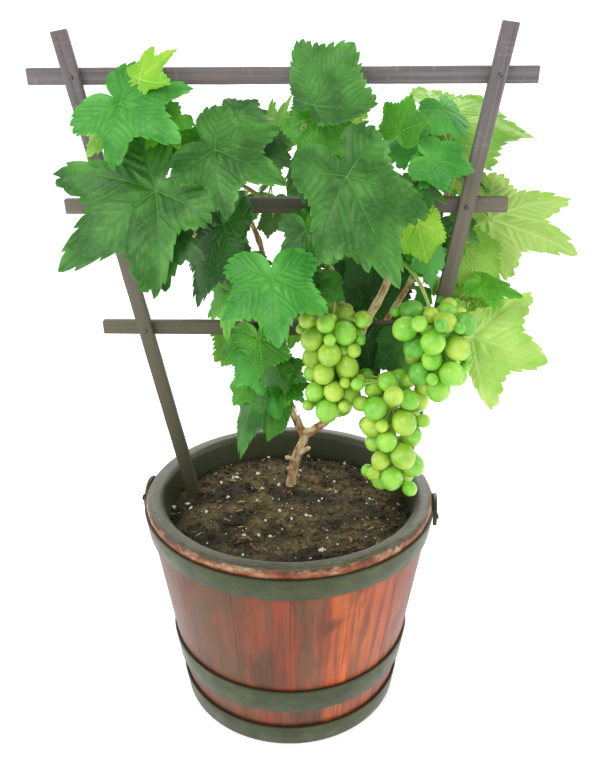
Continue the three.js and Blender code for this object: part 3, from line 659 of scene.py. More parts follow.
clods = [pebble(2, 0.9, seed) for seed in range(6)]
crumbs = [pebble(1, 0.8, seed) for seed in range(6)]
strewn("soil_crumbs", crumbs, 1700, (0.45, 1.5), (0.6, 1), earth, 5)
strewn("soil_clods", clods, 330, (1.0, 3.2), (0.55, 0.95), earth, 6)
white = ((0.35, (200, 192, 176)), (0.6, (240, 237, 228)))
perlite = one_pattern("perlite", 900, 2, 0.3 * mm, *white, Roughness=0.85)
strewn("perlite_grains", crumbs, 210, (0.3, 2.0), (0.6, 1), perlite, 7)
woody = ((0.35, (82, 56, 36)), (0.65, (150, 112, 74)))
chip_wood = one_pattern("bark_chips", 240, 3, 0.3 * mm, *woody, Roughness=0.9)
strewn("bark_chips", clods, 90, (1.2, 3.8), (0.14, 0.34), chip_wood, 8)
straw_tones = ((0.35, (140, 118, 76)), (0.65, (196, 176, 126)))
straw = one_pattern("straw_scraps", 300, 2, 0.2 * mm, *straw_tones, Roughness=0.9)
strewn("straw_scraps", clods, 75, (1.0, 3.2), (0.1, 0.2), straw, 9)

# ---- Trellis ----
# Two legs pushed into the soil spread upwards, with three bars nailed behind them. The strips are thin
# sawn laths with their edges rubbed round, weathered grey above and darker and more olive towards the soil.
lath_width, lath_thick = 10.5 * mm, 6 * mm
trellis_foot = Vector((3.5, 19.5, 163)) * mm
lean, roll, around = (math.radians(angle) for angle in (5, -0.82, -4.6))
trellis_place = (
    Matrix.Translation(trellis_foot)
    @ Matrix.Rotation(around, 4, "Z")
    @ Matrix.Rotation(lean, 4, "X")
    @ Matrix.Rotation(roll, 4, "Y")
)
half_foot, spread, buried, trellis_top = 84.6 * mm, 0.1625, 45 * mm, 356 * mm
# Each bar: how far up the trellis it lies, its left and right ends, and how far it dips, in degrees.
bars = {
    "trellis_bar_bottom": (149.2, -143.4, 133, 0),
    "trellis_bar_middle": (242, -158.3, 152.8, 0),
    "trellis_bar_top": (326.6, -170.2, 164, 0.6),
}
leg_angle = math.atan(spread)
leg_length = (trellis_top + buried) / math.cos(leg_angle)
set_off = (lath_thick + joint) / 2

weathered = Finish("weathered_lath", Roughness=0.6, Specular_IOR_Level=0.4)
split = weathered.noise(weathered.grain((420, 420, 7)), detail=4, roughness=0.65)
stripe = weathered.noise(weathered.grain((900, 900, 16)), detail=3)
aged = weathered.noise(weathered.place(16), detail=2)
flecks = weathered.noise(weathered.grain((260, 260, 120)), detail=4, roughness=0.7)
dark, grey, light = shade(88, 80, 84), shade(108, 100, 104), shade(130, 122, 128)
grey = weathered.ramp(split, (0.3, dark), (0.5, grey), (0.72, light))
grey = weathered.over(grey, stripe, (62, 54, 54), (0.6, 0.0), (0.78, 0.25))
across = weathered.noise(weathered.grain((60, 60, 700)), detail=3, roughness=0.7)
scratches = weathered.combine("MULTIPLY", weathered.ramp(across, (0.6, 0.0), (0.7, 0.5)), flecks)
grey = weathered.mix(scratches, grey, shade(196, 190, 182))
grey = weathered.over(grey, flecks, (186, 178, 172), (0.68, 0.0), (0.76, 0.5))
grey = weathered.over(grey, aged, (104, 88, 72), (0.48, 0.0), (0.72, 0.5))
# Lower down the laths turn olive, and near the soil dark olive-brown: they are darker towards the bottom.
level = weathered.axis(weathered.place((1, 1, 2)), "Z")
grey = weathered.over(grey, level, (108, 104, 76), (0.55, 0.75), (0.82, 0.5), (0.92, 0.2), (1.0, 0.05))
weathered.colour(weathered.over(grey, level, (66, 63, 38), (0.42, 0.85), (0.6, 0.4), (0.74, 0.0)))
weathered.bump(split, 0.25 * mm)


def make_lath(name, node, length, place, seed):
    """One strip, sawn to length, with worn edges, laid where the matrix puts it."""
    chance = random.Random(seed)
    piece = begin(name, "cube", size=1)
    piece.scale = (lath_width, lath_thick, length)
    bpy.ops.object.transform_apply(scale=True)
    with editing():
        select_edges(piece, lambda a, b: abs(a.z - b.z) > length / 2)
        bpy.ops.mesh.subdivide(number_cuts=30)
    for corner in piece.data.vertices:
        if abs(corner.co.z) < 0.499 * length:
            corner.co.x += chance.uniform(-0.12, 0.12) * mm
            corner.co.y += chance.uniform(-0.12, 0.12) * mm
    angle = math.radians(40)
    apply_modifier(piece, "BEVEL", width=0.8 * mm, segments=2, limit_method="ANGLE", angle_limit=angle)
    shift = chance.uniform(0, 5)
    keep_grain(piece, lambda corner: (corner.x + shift, corner.y, corner.z))
    piece.data.transform(trellis_place @ place)
    piece.data.materials.append(weathered.material)
    seat(piece, [node], smooth=30)


for seed, (side, name) in enumerate(((-1, "left"), (1, "right"))):
    middle = (trellis_top - buried) / 2
    place = Matrix.Translation((side * (half_foot + spread * middle), -set_off, middle))
    place = place @ Matrix.Rotation(side * leg_angle, 4, "Y")
    make_lath("sawn_leg_" + name, "trellis_leg_" + name, leg_length, place, seed + 31)
nails = []
for seed, (name, (up, left, right, dip)) in enumerate(bars.items()):
    up, left, right, dip = up * mm, left * mm, right * mm, math.radians(dip)
    place = Matrix.Translation(((left + right) / 2, set_off, up))
    place = place @ Matrix.Rotation(math.pi / 2 + dip, 4, "Y")
    make_lath(name.replace("trellis", "sawn"), name, right - left, place, seed + 41)
    for side in (-1, 1):
        at = Vector((side * (half_foot + spread * up), -2 * set_off, up - side * dip * 140 * mm))
        look = trellis_place.to_3x3() @ Vector((0, -1, 0))
        nails.append((trellis_place @ at, look, 1.7 * mm, 0.7 * mm))
rusty = ((0.4, (66, 58, 54)), (0.6, (120, 114, 108)))
steel = one_pattern("nail_steel", 900, 3, None, *rusty, Roughness=0.45, Metallic=0.8)
nail_heads = domes("trellis_nails", nails)
nail_heads.data.materials.append(steel.material)
seat(nail_heads)
bpy.data.objects.remove(dome)

# ---- Trunk, arms and canes ----
# The vine's woody frame: one short trunk with a root flare, two arms and the canes that they carry. The
# old wood has fibrous bark that splits and peels in strips, and short snags where shoots were cut. The
# canes are smoother, with swollen nodes.
crotch, right_fork, left_fork = (13, 19, 217), (42, 6, 264), (-3, 17, 258)
# Each limb: how thick it is at its root and at its tip, from the middle, and the places it grows through.
limbs = {
    "trunk": ((4.3, 4), [(1, 30, 156), (1, 29, 164), (3, 27, 178), (5, 25, 192), (9, 22, 205), crotch]),
    "arm_right": ((3.9, 3.7), [crotch, (21, 16, 224), (30, 12, 234), (36, 9, 248), right_fork]),
    "arm_left": ((3.7, 3.1), [(12, 20, 215), (7, 19, 227), (2, 18, 240), left_fork]),
    "cane_right": ((3.8, 2), [right_fork, (54, -2, 312), (72, -3, 352), (84, 9, 402), (91, 9, 430)]),
    "cane_middle": ((2.8, 1.6), [right_fork, (46, -5, 290), (38, -6, 336), (24, -7, 384), (20, -4, 446)]),
    "cane_left_inner": (
        (2.6, 1.6), [left_fork, (-11, 3, 312), (-20, 2, 376), (-38, -2, 415), (-42, 0, 436)],
    ),
    "cane_left_outer": (
        (2.5, 1.6), [left_fork, (-30, 5, 312), (-61, 3, 372), (-87, -3, 428), (-92, -5, 448)],
    ),
    "cane_left_low": ((2.2, 1.5), [(0, 18, 244), (-8, 20, 256), (-21, 29, 280)]),
    "cane_right_outer": (
        (2.7, 1.7), [right_fork, (74, 20, 312), (92, 19, 345), (104, 15, 375), (118, 9, 428)],
    ),
    "cane_right_low": ((2.4, 1.6), [(36, 9, 248), (52, 4, 264), (76, -8, 282)]),
    "cane_back": ((2.5, 1.6), [left_fork, (-4, 32, 288), (2, 42, 330), (8, 48, 400)]),
}
old_wood = ("trunk", "arm_right", "arm_left")
root_flare, flare_fade = 3.4 * mm, 9
node_spacing = 25 * mm


class Bend:
    """A smooth curve through its points, read by the share of its length."""

    samples = 200

    def __init__(self, points):
        points = [Vector(point) * mm for point in points]
        ends = [2 * points[0] - points[1], *points, 2 * points[-1] - points[-2]]
        self.ends, self.spans = ends, len(points) - 1
        steps = [self.raw(i / self.samples) for i in range(self.samples + 1)]
        self.lengths = [0.0]
        for a, b in zip(steps, steps[1:]):
            self.lengths.append(self.lengths[-1] + (b - a).length)

    def raw(self, t):
        k = min(int(t * self.spans), self.spans - 1)
        w = t * self.spans - k
        before, a, b, after = self.ends[k : k + 4]
        out, into = (b - before) / 2, (after - a) / 2
        return a + out * w + (3 * (b - a) - 2 * out - into) * w**2 + (2 * (a - b) + out + into) * w**3

    def at(self, share):
        even = np.linspace(0, 1, self.samples + 1)
        return self.raw(float(np.interp(share * self.lengths[-1], self.lengths, even)))


def tube(points, radii, sides):
    """A tube along a line of points, closed at both ends: its corners and faces."""
    points = [Vector(point) for point in points]
    corners, faces = [], []
    ahead = (points[1] - points[0]).normalized()
    across = ahead.orthogonal().normalized()
    for k, (point, radius) in enumerate(zip(points, radii)):
        following = points[min(k + 1, len(points) - 1)] - points[max(k - 1, 0)]
        ahead = following.normalized()
        across = (across - ahead * across.dot(ahead)).normalized()
        other = ahead.cross(across)
        for side in range(sides):
            turn = 2 * math.pi * side / sides
            corners.append(point + radius * (math.cos(turn) * across + math.sin(turn) * other))
    for k in range(len(points) - 1):
        for side in range(sides):
            a, b = k * sides + side, k * sides + (side + 1) % sides
            faces.append((a, b, b + sides, a + sides))
    last = (len(points) - 1) * sides
    faces.append(tuple(reversed(range(sides))))
    faces.append(tuple(last + side for side in range(sides)))
    return corners, faces


bends, limb_marks = {}, []
rough_wood = Stock()
for name, (radii, points) in limbs.items():
    bend = bends[name] = Bend(points)
    length = bend.lengths[-1]
    steps = int(length / (2 * mm))
    places, thick = [], []
    for k in range(steps + 1):
        share = k / steps
        radius = (radii[0] + (radii[1] - radii[0]) * share) * mm
        if name in old_wood:
            radius -= 0.7 * mm
        if name == "trunk":
            radius += root_flare * math.exp(-flare_fade * share)
        elif name not in old_wood:
            from_node = (share * length / node_spacing + 0.5) % 1 - 0.5
            radius += 0.55 * mm * math.exp(-((from_node * node_spacing / (2.4 * mm)) ** 2))
        places.append(bend.at(share))
        thick.append(radius)
        limb_marks.append((places[-1], name, share * length, radius))
    rough_wood.add(*tube(places, thick, 16))
snags = [
    ((12, 17, 221), (20, 6, 229), 2.3),
    ((4, 23, 193), (-3, 17, 198), 1.9),
    ((9, 22, 199), (16, 14, 208), 1.9),
    ((3, 26, 184), (-2, 20, 186), 1.6),
    ((33, 11, 241), (40, 1, 243), 2.2),
    ((40, 6, 262), (34, -2, 268), 2.0),
    ((-2, 17, 256), (-9, 8, 258), 1.8),
]
for root, tip, radius in snags:
    root, tip = Vector(root) * mm, Vector(tip) * mm
    places = [root.lerp(tip, share) for share in (0, 0.3, 0.55, 0.8, 1)]
    rough_wood.add(*tube(places, [radius * mm * size for size in (1.25, 1, 0.92, 1.05, 0.85)], 12))
    limb_marks.append((tip, "arm_right", tip.z, radius * mm))
wood = rough_wood.piece("vine_wood", [])
apply_modifier(wood, "REMESH", mode="VOXEL", voxel_size=0.6 * mm)
apply_modifier(wood, "SMOOTH", factor=0.5, iterations=4)

nearest_mark = kdtree.KDTree(len(limb_marks))
for i, (place, *_rest) in enumerate(limb_marks):
    nearest_mark.insert(place, i)
nearest_mark.balance()
wood_grain = []
for corner in wood.data.vertices:
    _place, i, _far = nearest_mark.find(corner.co)
    middle, name, along, radius = limb_marks[i]
    around = corner.co - middle
    is_old = name in old_wood
    spot = Vector((around.x / mm, around.y / mm, (along / mm + around.z / mm) * 0.13))
    ridges = noise.noise(spot * 1.15) + 0.6 * noise.noise(spot * 2.6)
    flakes = noise.noise(corner.co / (5.5 * mm))
    if is_old:
        lift = 0.55 * ridges + 0.5 * max(0.0, flakes) + 0.35 * noise.noise(corner.co / (12 * mm))
    else:
        lift = 0.12 * ridges + 0.1 * flakes
    corner.co += around.normalized() * lift * mm
    wood_grain.append(spot)
layer = wood.data.attributes.new("grain", "FLOAT_VECTOR", "POINT")
layer.data.foreach_set("vector", np.array(wood_grain, np.float32).ravel())

bark = Finish("vine_bark", Roughness=0.85, Specular_IOR_Level=0.25)
fibres = bark.noise(bark.grain((1.6, 1.6, 1.1)), detail=5, roughness=0.65)
blotch = bark.noise(bark.place((110, 110, 70)), detail=4)
# The fibre streaks run up to near white. They are partly the bark's own pale fibres and partly painted
# highlight. The whole bark is also painted lighter than it is, to make up for the shade that the leaves cast
# on it.
tan = bark.ramp(
    fibres,
    (0.3, shade(124, 88, 56)),
    (0.43, shade(208, 174, 122)),
    (0.54, shade(250, 232, 182)),
    (0.7, shade(255, 248, 222)),
)
tan = bark.over(tan, blotch, (168, 98, 62), (0.5, 0.0), (0.64, 0.75))
bark.colour(tan)
bark.bump(fibres, 0.35 * mm)
wood.data.materials.append(bark.material)
seat(wood, list(limbs), smooth=60)

# Strips of dead bark that have split along the grain and curl away from the old wood.
chance = random.Random(77)
strips = Stock()
for _ in range(95):
    name = chance.choice(("trunk", "trunk", "arm_right", "arm_left", "cane_right", "cane_middle"))
    radii, _points = limbs[name]
    bend = bends[name]
    share = chance.uniform(0.04, 0.8 if name in old_wood else 0.25)
    run = chance.uniform(5, 16) * mm / bend.lengths[-1]
    turn = chance.uniform(0, 2 * math.pi)
    width = chance.uniform(0.3, 0.75) * mm
    curl = chance.uniform(0.3, 2.2) * mm
    places = []
    for k in range(7):
        s = share + run * k / 6
        if s > 1:
            break
        here, beyond = bend.at(s), bend.at(min(1.0, s + 0.01))
        ahead = (beyond - here).normalized() if s < 0.99 else Vector((0, 0, 1))
        side = ahead.orthogonal().normalized()
        look = side * math.cos(turn) + ahead.cross(side) * math.sin(turn)
        radius = (radii[0] + (radii[1] - radii[0]) * s) * mm
        if name == "trunk":
            radius += root_flare * math.exp(-flare_fade * s)
        lift = radius + 0.12 * mm + curl * max(0.0, (k - 3) / 3) ** 2
        lift += 0.3 * curl * max(0.0, (1.5 - k) / 1.5) ** 2
        places.append((here + look * lift, look, ahead.cross(look)))
    if len(places) < 4:
        continue
    corners, faces = [], []
    for k, (place, look, side) in enumerate(places):
        taper = width * (0.45 + 0.55 * math.sin(math.pi * (k + 0.7) / (len(places) + 0.6)))
        thin = 0.14 * mm
        corners += [place - side * taper, place + look * thin, place + side * taper, place - look * thin]
    for k in range(len(places) - 1):
        for side in range(4):
            a, b = 4 * k + side, 4 * k + (side + 1) % 4
            faces.append((a, a + 4, b + 4, b))
    last = 4 * (len(places) - 1)
    faces += [(0, 1, 2, 3), (last + 3, last + 2, last + 1, last)]
    strips.add(corners, faces)
stringy = ((0.35, (120, 78, 50)), (0.5, (176, 132, 92)), (0.68, (216, 186, 148)))
peeling = one_pattern("peeling_bark", (500, 500, 90), 3, 0.2 * mm, *stringy, Roughness=0.9)
bark_strips = strips.piece("peeling_bark_strips", [peeling])
clean(bark_strips)
seat(bark_strips, smooth=50)

# ---- Shoots: green stems, leaf stalks and leaves ----
# Each shoot is a young green stem that leaves a cane. Its leaves stand left and right in turn on long
# stalks, five-lobed and toothed, with the ribs sunk above and raised below. Young growth is small and pale.


def lead(at, tip, look, stem, tone, **shape):
    """A leaf in a place of its own: its heart and its tip, the way its face looks, how far along the stem
    its stalk starts, its tone and the shape of its blade."""
    return at, tip, look, stem, tone, shape


shoots = {
    "left_high": {
        "from": ("cane_left_outer", 1), "to": (-98, -9, 474), "faces": (-0.2, -0.8, 0.5),
        "leaves": 4, "size": 27, "seed": 101, "tones": "fresh bright light",
        "leads": [
            lead((-106, -26, 472), (-66, -50, 450), (-0.1, -0.75, 0.65), 0.35, "fresh",
                 sinus=0.38, width=1.1),
            lead((-94, -17, 486), (-69, -20, 503), (0.3, -0.6, 0.7), 1, "young", sinus=0.35, width=0.8),
        ],
    },
    "left_wide": {
        "from": ("cane_left_outer", 0.8), "to": (-92, -14, 408), "faces": (-0.4, -0.8, 0.3),
        "leaves": 4, "size": 38, "seed": 102, "tones": "mid bright dark",
        "leads": [
            lead((-86, -33, 419), (-149, -50, 370), (-0.2, -0.85, 0.4), 0.6, "mid",
                 sinus=0.38, heel=0.86, fall=0.06, width=1.02),
        ],
    },
    "left_inner": {
        "from": ("cane_left_inner", 1), "to": (-50, -6, 458), "faces": (-0.1, -0.9, 0.5),
        "leaves": 4, "size": 34, "seed": 103, "tones": "mid dark bright",
        "leads": [
            lead((-47, -30, 444), (-1, -40, 423), (0, -0.75, 0.66), 0.3, "mid", sinus=0.36, width=1.1),
        ],
    },
    "left_hang": {
        "from": ("cane_left_inner", 0.62), "to": (-38, -10, 372), "faces": (-0.6, -0.7, 0.2),
        "leaves": 3, "size": 34, "seed": 104, "tones": "dark mid bright",
        "leads": [
            lead((-44, -23, 395), (-62, -32, 341), (-0.6, -0.8, 0.1), 1, "dark",
                 sinus=0.2, width=0.62, fall=0.25),
        ],
    },
    "top": {
        "from": ("cane_middle", 1), "to": (14, -14, 462), "faces": (0, -0.8, 0.6),
        "leaves": 4, "size": 28, "seed": 105, "tones": "mid bright dark",
        "leads": [
            lead((17, -24, 471), (41, -29, 507), (-0.1, -0.9, 0.4), 0.7, "mid",
                 sinus=0.14, heel=0.5, width=1.15),
            lead((22, -15, 463), (12, -25, 437), (0, -0.95, 0.2), 0.3, "bright", sinus=0.1, width=1.1),
            lead((47, -6, 462), (33, -11, 469), (0, -0.8, 0.6), 0.05, "young", sinus=0.3),
        ],
    },
    "middle": {
        "from": ("cane_middle", 0.78), "to": (42, -18, 424), "faces": (0.1, -0.9, 0.4),
        "leaves": 3, "size": 34, "seed": 106, "tones": "dark mid bright",
        "leads": [
            lead((37, -46, 429), (69, -75, 365), (-0.05, -0.85, 0.5), 0.9, "mid",
                 sinus=0.28, heel=0.92, width=0.76),
        ],
    },
    "low_middle": {
        "from": ("cane_middle", 0.52), "to": (4, -22, 366), "faces": (0, -0.9, 0.4),
        "leaves": 4, "size": 34, "seed": 107, "tones": "mid bright dark",
        "leads": [
            lead((-11, -48, 365), (-7, -74, 325), (0, -0.8, 0.6), 1, "fresh", sinus=0.31, width=1.1),
        ],
    },
    "left_low": {
        "from": ("cane_left_low", 1), "to": (-32, 24, 292), "faces": (-0.6, -0.5, 0.4),
        "leaves": 6, "size": 25, "seed": 108, "tones": "bright fresh mid",
        "leads": [
            lead((-29, 38, 305), (-60, 36, 275), (0.2, 0.7, 0.6), 0.5, "bright", sinus=0.14, width=0.9),
        ],
    },
    "foot": {
        "from": ("arm_left", 0.75), "to": (-18, 4, 276), "faces": (-0.4, -0.8, 0.2),
        "leaves": 4, "size": 25, "seed": 109, "tones": "mid bright fresh",
        "leads": [
            lead((-23, -9, 279), (-37, -22, 218), (-0.6, -0.8, 0.1), 1, "mid",
                 sinus=0.1, width=0.26, fall=0.4),
            lead((-22, -12, 311), (-18, -20, 280), (-0.1, -0.9, 0.3), 1, "bright", sinus=0.2, fall=0.3),
            lead((-7, 2, 250), (-17, -10, 226), (-0.3, -0.8, 0.4), 0.4, "bright",
                 sinus=0.1, width=0.5, fall=0.5),
            lead((-36, -4, 306), (-50, -10, 288), (-0.5, -0.6, 0.5), 1, "bright", sinus=0.2, fall=0.4),
            lead((-26, -14, 294), (-20, -24, 270), (0.3, -0.9, 0.2), 1, "fresh", sinus=0.24, fall=0.4),
            lead((-30, -8, 276), (-42, -14, 258), (-0.3, -0.7, 0.6), 0.8, "bright", sinus=0.2, fall=0.4),
            lead((-14, -10, 268), (-8, -18, 248), (0.4, -0.8, 0.3), 0.7, "fresh", sinus=0.2, fall=0.5),
            lead((-24, 2, 262), (-30, -4, 242), (-0.6, -0.7, 0.3), 0.6, "dark", sinus=0.16, fall=0.5),
            lead((-12, -16, 292), (-2, -26, 276), (0.4, -0.9, 0.1), 1, "mid", sinus=0.2, fall=0.4),
        ],
    },
    "right_high": {
        "from": ("cane_right", 1), "to": (102, 22, 456), "faces": (0.1, -0.4, 0.9),
        "leaves": 4, "size": 30, "seed": 110, "tones": "fresh light bright",
        "leads": [
            lead((112, 38, 460), (178, 32, 446), (0.1, -0.5, 0.85), 0.9, "light", sinus=0.22, width=0.95),
            lead((74, -12, 455), (80, -18, 477), (-0.2, -0.9, 0.3), 0.5, "bright", sinus=0.2),
        ],
    },
    "right_inner": {
        "from": ("cane_right", 0.93), "to": (88, -15, 430), "faces": (0.3, -0.9, 0.3),
        "leaves": 4, "size": 30, "seed": 111, "tones": "mid fresh bright",
        "leads": [
            lead((94, -20, 437), (121, -30, 430), (0, -0.8, 0.6), 1, "fresh", sinus=0.25),
            lead((87, -24, 396), (94, -30, 370), (0.1, -0.9, 0.3), 0.8, "young", sinus=0.16),
        ],
    },
    "right_wide": {
        "from": ("cane_right_outer", 1), "to": (132, 18, 410), "faces": (0.6, 0.2, 0.7),
        "leaves": 3, "size": 36, "seed": 112, "tones": "bright light fresh",
        "leads": [
            lead((147, 20, 391), (211, 10, 366), (0.1, 0.75, 0.6), 1, "light", sinus=0.36, width=1.05),
            lead((129, 19, 373), (156, 11, 347), (0.2, -0.8, 0.5), 0.6, "light", sinus=0.12),
        ],
    },
    "right_low": {
        "from": ("cane_right_outer", 0.5), "to": (131, -6, 336), "faces": (0.5, -0.6, 0.5),
        "leaves": 3, "size": 32, "seed": 113, "tones": "light fresh bright",
        "leads": [
            lead((133, -18, 313), (187, -26, 296), (0.1, -0.9, 0.35), 1, "pale",
                 sinus=0.32, heel=0.45, width=1.2),
            lead((138, 12, 326), (158, 10, 343), (0, -0.8, 0.6), 1, "young", sinus=0.12),
        ],
    },
    "right_hang": {
        "from": ("cane_right_outer", 0.7), "to": (99, -10, 392), "faces": (0.1, -0.9, 0.3),
        "leaves": 5, "size": 28, "seed": 114, "tones": "fresh mid bright",
        "leads": [
            lead((96, -17, 385), (100, -22, 349), (0.3, -0.9, 0.2), 1, "fresh",
                 sinus=0.2, heel=0.6, width=0.56, fall=0.25),
        ],
    },
    "back_left": {
        "from": ("cane_back", 0.9), "to": (-62, 44, 428), "faces": (-0.4, 0.8, 0.5),
        "leaves": 9, "size": 44, "seed": 115, "tones": "mid dark bright", "leads": [],
    },
    "back_middle": {
        "from": ("cane_back", 1), "to": (16, 42, 450), "faces": (0, 0.9, 0.5),
        "leaves": 10, "size": 40, "seed": 116, "tones": "mid dark fresh", "leads": [],
    },
    "back_right": {
        "from": ("cane_back", 0.8), "to": (74, 46, 414), "faces": (0.3, 0.8, 0.5),
        "leaves": 9, "size": 42, "seed": 117, "tones": "mid fresh bright",
        "leads": [
            lead((92, 36, 372), (112, 31, 342), (0, -0.9, 0.4), 1, "dark", sinus=0.24),
        ],
    },
    "back_low": {
        "from": ("cane_back", 0.45), "to": (34, 62, 318), "faces": (0.1, 0.9, 0.4),
        "leaves": 8, "size": 35, "seed": 118, "tones": "dark mid bright",
        "leads": [
            lead((62, 44, 334), (99, 36, 306), (0, -0.85, 0.5), 1, "dark", sinus=0.2, width=1.1),
            lead((64, 42, 302), (98, 33, 268), (0.1, -0.9, 0.3), 0.9, "dark", sinus=0.2),
            lead((30, 38, 340), (37, 31, 303), (-0.1, -0.9, 0.3), 0.8, "dark", sinus=0.24),
            lead((58, -3, 303), (63, -8, 272), (0, -0.9, 0.4), 1, "dark", sinus=0.24),
            lead((84, -5, 305), (86, -12, 274), (0.1, -0.9, 0.4), 1, "mid", sinus=0.2),
            lead((60, 31, 356), (62, 27, 328), (0, -0.9, 0.4), 1, "dark", sinus=0.2),
        ],
    },
}
tries = 14
upright = Vector((0, 0, 1))


def seeded(seed):
    """A stream of numbers from 0 to 1, the same on every machine."""
    state, whole = seed, 0xFFFFFFFF

    def draw():
        nonlocal state
        state = (state + 0x6D2B79F5) & whole
        bits = ((state ^ (state >> 15)) * (state | 1)) & whole
        bits ^= (bits + (((bits ^ (bits >> 7)) * (bits | 61)) & whole)) & whole
        return (bits ^ (bits >> 14)) / 4294967296

    return draw


def mix(a, b, share):
    return a + (b - a) * share


side_lobe, basal_lobe = 50, 108
side_reach, basal_reach, notch_reach = 0.86, 0.62, 0.1


def reach(turn, sinus, heel, round_lobes=1.0):
    """How far a five-lobed blade reaches at an angle from its midrib; between lobes it draws in."""
    size = np.abs(np.asarray(turn, float))
    out = np.empty_like(size)
    tip, basal = size < side_lobe, size >= basal_lobe
    side = ~tip & ~basal
    share = size[tip] / side_lobe
    out[tip] = mix(1, side_reach, share) * (1 - sinus * np.sin(np.pi * share) ** round_lobes)
    share = (size[side] - side_lobe) / (basal_lobe - side_lobe)
    drawn_in = 1 - sinus * np.abs(np.sin(np.pi * share)) ** round_lobes
    out[side] = mix(side_reach, basal_reach, share) * mix(1, heel, share) * drawn_in
    share = (size[basal] - basal_lobe) / (180 - basal_lobe)
    out[basal] = heel * mix(basal_reach, notch_reach, share**2)
    return out


class Leaf:
    """One leaf: where its stalk starts and ends, how it lies, the shape of its blade and how fine it is."""

    def __init__(
        self, at, along, up, length, start, tone, sinus=0.2, heel=1, width=1, fall=0.15, fine=False
    ):
        self.at, self.along, self.length, self.start, self.tone = at, along, length, start, tone
        self.across = up.cross(along).normalized()
        self.up = along.cross(self.across)
        self.sinus, self.heel, self.width, self.fall, self.fine = sinus, heel, width, fall, fine
        self.arch = 0.2
        self.wave = (at.x * 977 + at.z * 613) / mm % 6.28

    def solid_edge(self):
        """The corners of the plain solid's edge."""
        half = [13, 25, 38, side_lobe, 79, basal_lobe, 148]
        turns = np.array([0, *half, 180, *(-turn for turn in reversed(half))])
        out = reach(turns, self.sinus, self.heel)
        x, y = out * np.cos(np.radians(turns)), self.width * out * np.sin(np.radians(turns))
        return self.lay(x, y, -self.fall * np.abs(y) + self.arch * out * (1 - out))

    def lay(self, x, y, rise):
        frame = np.array([self.along, self.across, self.up])
        return np.array(self.at) + self.length * (np.stack([x, y, rise], -1) @ frame)


def quadratic(a, b, c, share):
    return (1 - share) ** 2 * a + 2 * share * (1 - share) * b + share**2 * c


def rule_leaf(shoot, slot, attempt, draw, tone):
    """The rule: leaves stand to the left and right in turn, look the way their shoot faces, and hang."""
    d = [draw() for _ in range(8)]
    faces = Vector(shoot["faces"]).normalized()
    share = mix(0.1, 1, (slot + d[0]) / shoot["leaves"])
    a, b, c = shoot["stem"]
    start = quadratic(a, b, c, share)
    tangent = (2 * (1 - share) * (b - a) + 2 * share * (c - b)).normalized()
    heading = tangent.cross(faces).normalized() * (1 if slot % 2 else -1) * (0.3 + d[1])
    heading = (heading + faces * (0.1 + 0.9 * d[2]) + upright * (d[3] - 0.4)).normalized()
    length = shoot["size"] * mm * (1.15 - 0.4 * d[4]) * (1 - 0.025 * attempt)
    at = start + heading * length * (0.45 + 0.5 * d[5])
    along = (heading * 0.7 + upright * (-0.3 - 0.9 * d[6])).normalized()
    look = faces + upright * 0.5 + heading * 0.5 * (d[7] - 0.5)
    return Leaf(at, along, look, length, start, tone, sinus=0.15 + 0.2 * d[5], fall=0.1 + 0.25 * d[2])


def stands(leaf, solid):
    """Whether this place was kept by the rule: the shoot's solid then has the leaf's own corners."""
    found = sum(solid.find(Vector(corner))[2] < 0.06 * mm for corner in leaf.solid_edge())
    return found >= 10


leaves = []
for name, shoot in shoots.items():
    limb, share = shoot["from"]
    start, end = bends[limb].at(share), Vector(shoot["to"]) * mm
    faces = Vector(shoot["faces"]).normalized()
    bow = start.lerp(end, 0.5) + faces * 0.12 * (end - start).length
    shoot["stem"] = (start, bow, end)
    shoot["kept"] = []
    for at, tip, look, stem, tone, shape in shoot["leads"]:
        at, tip = Vector(at) * mm, Vector(tip) * mm
        root = quadratic(*shoot["stem"], stem)
        along = tip - at
        leaf = Leaf(at, along.normalized(), Vector(look), along.length, root, tone, fine=True, **shape)
        shoot["kept"].append(leaf)
    corners = frame["nodes"]["shoot_" + name].data.vertices
    solid = kdtree.KDTree(len(corners))
    for corner in corners:
        solid.insert(corner.co, corner.index)
    solid.balance()
    draw = seeded(shoot["seed"])
    tones = shoot["tones"].split()
    for slot in range(shoot["leaves"]):
        tone = tones[slot % len(tones)]
        offers = [rule_leaf(shoot, slot, attempt, draw, tone) for attempt in range(tries)]
        kept = next((offer for offer in offers if stands(offer, solid)), None)
        if kept:
            shoot["kept"].append(kept)
    leaves += shoot["kept"]


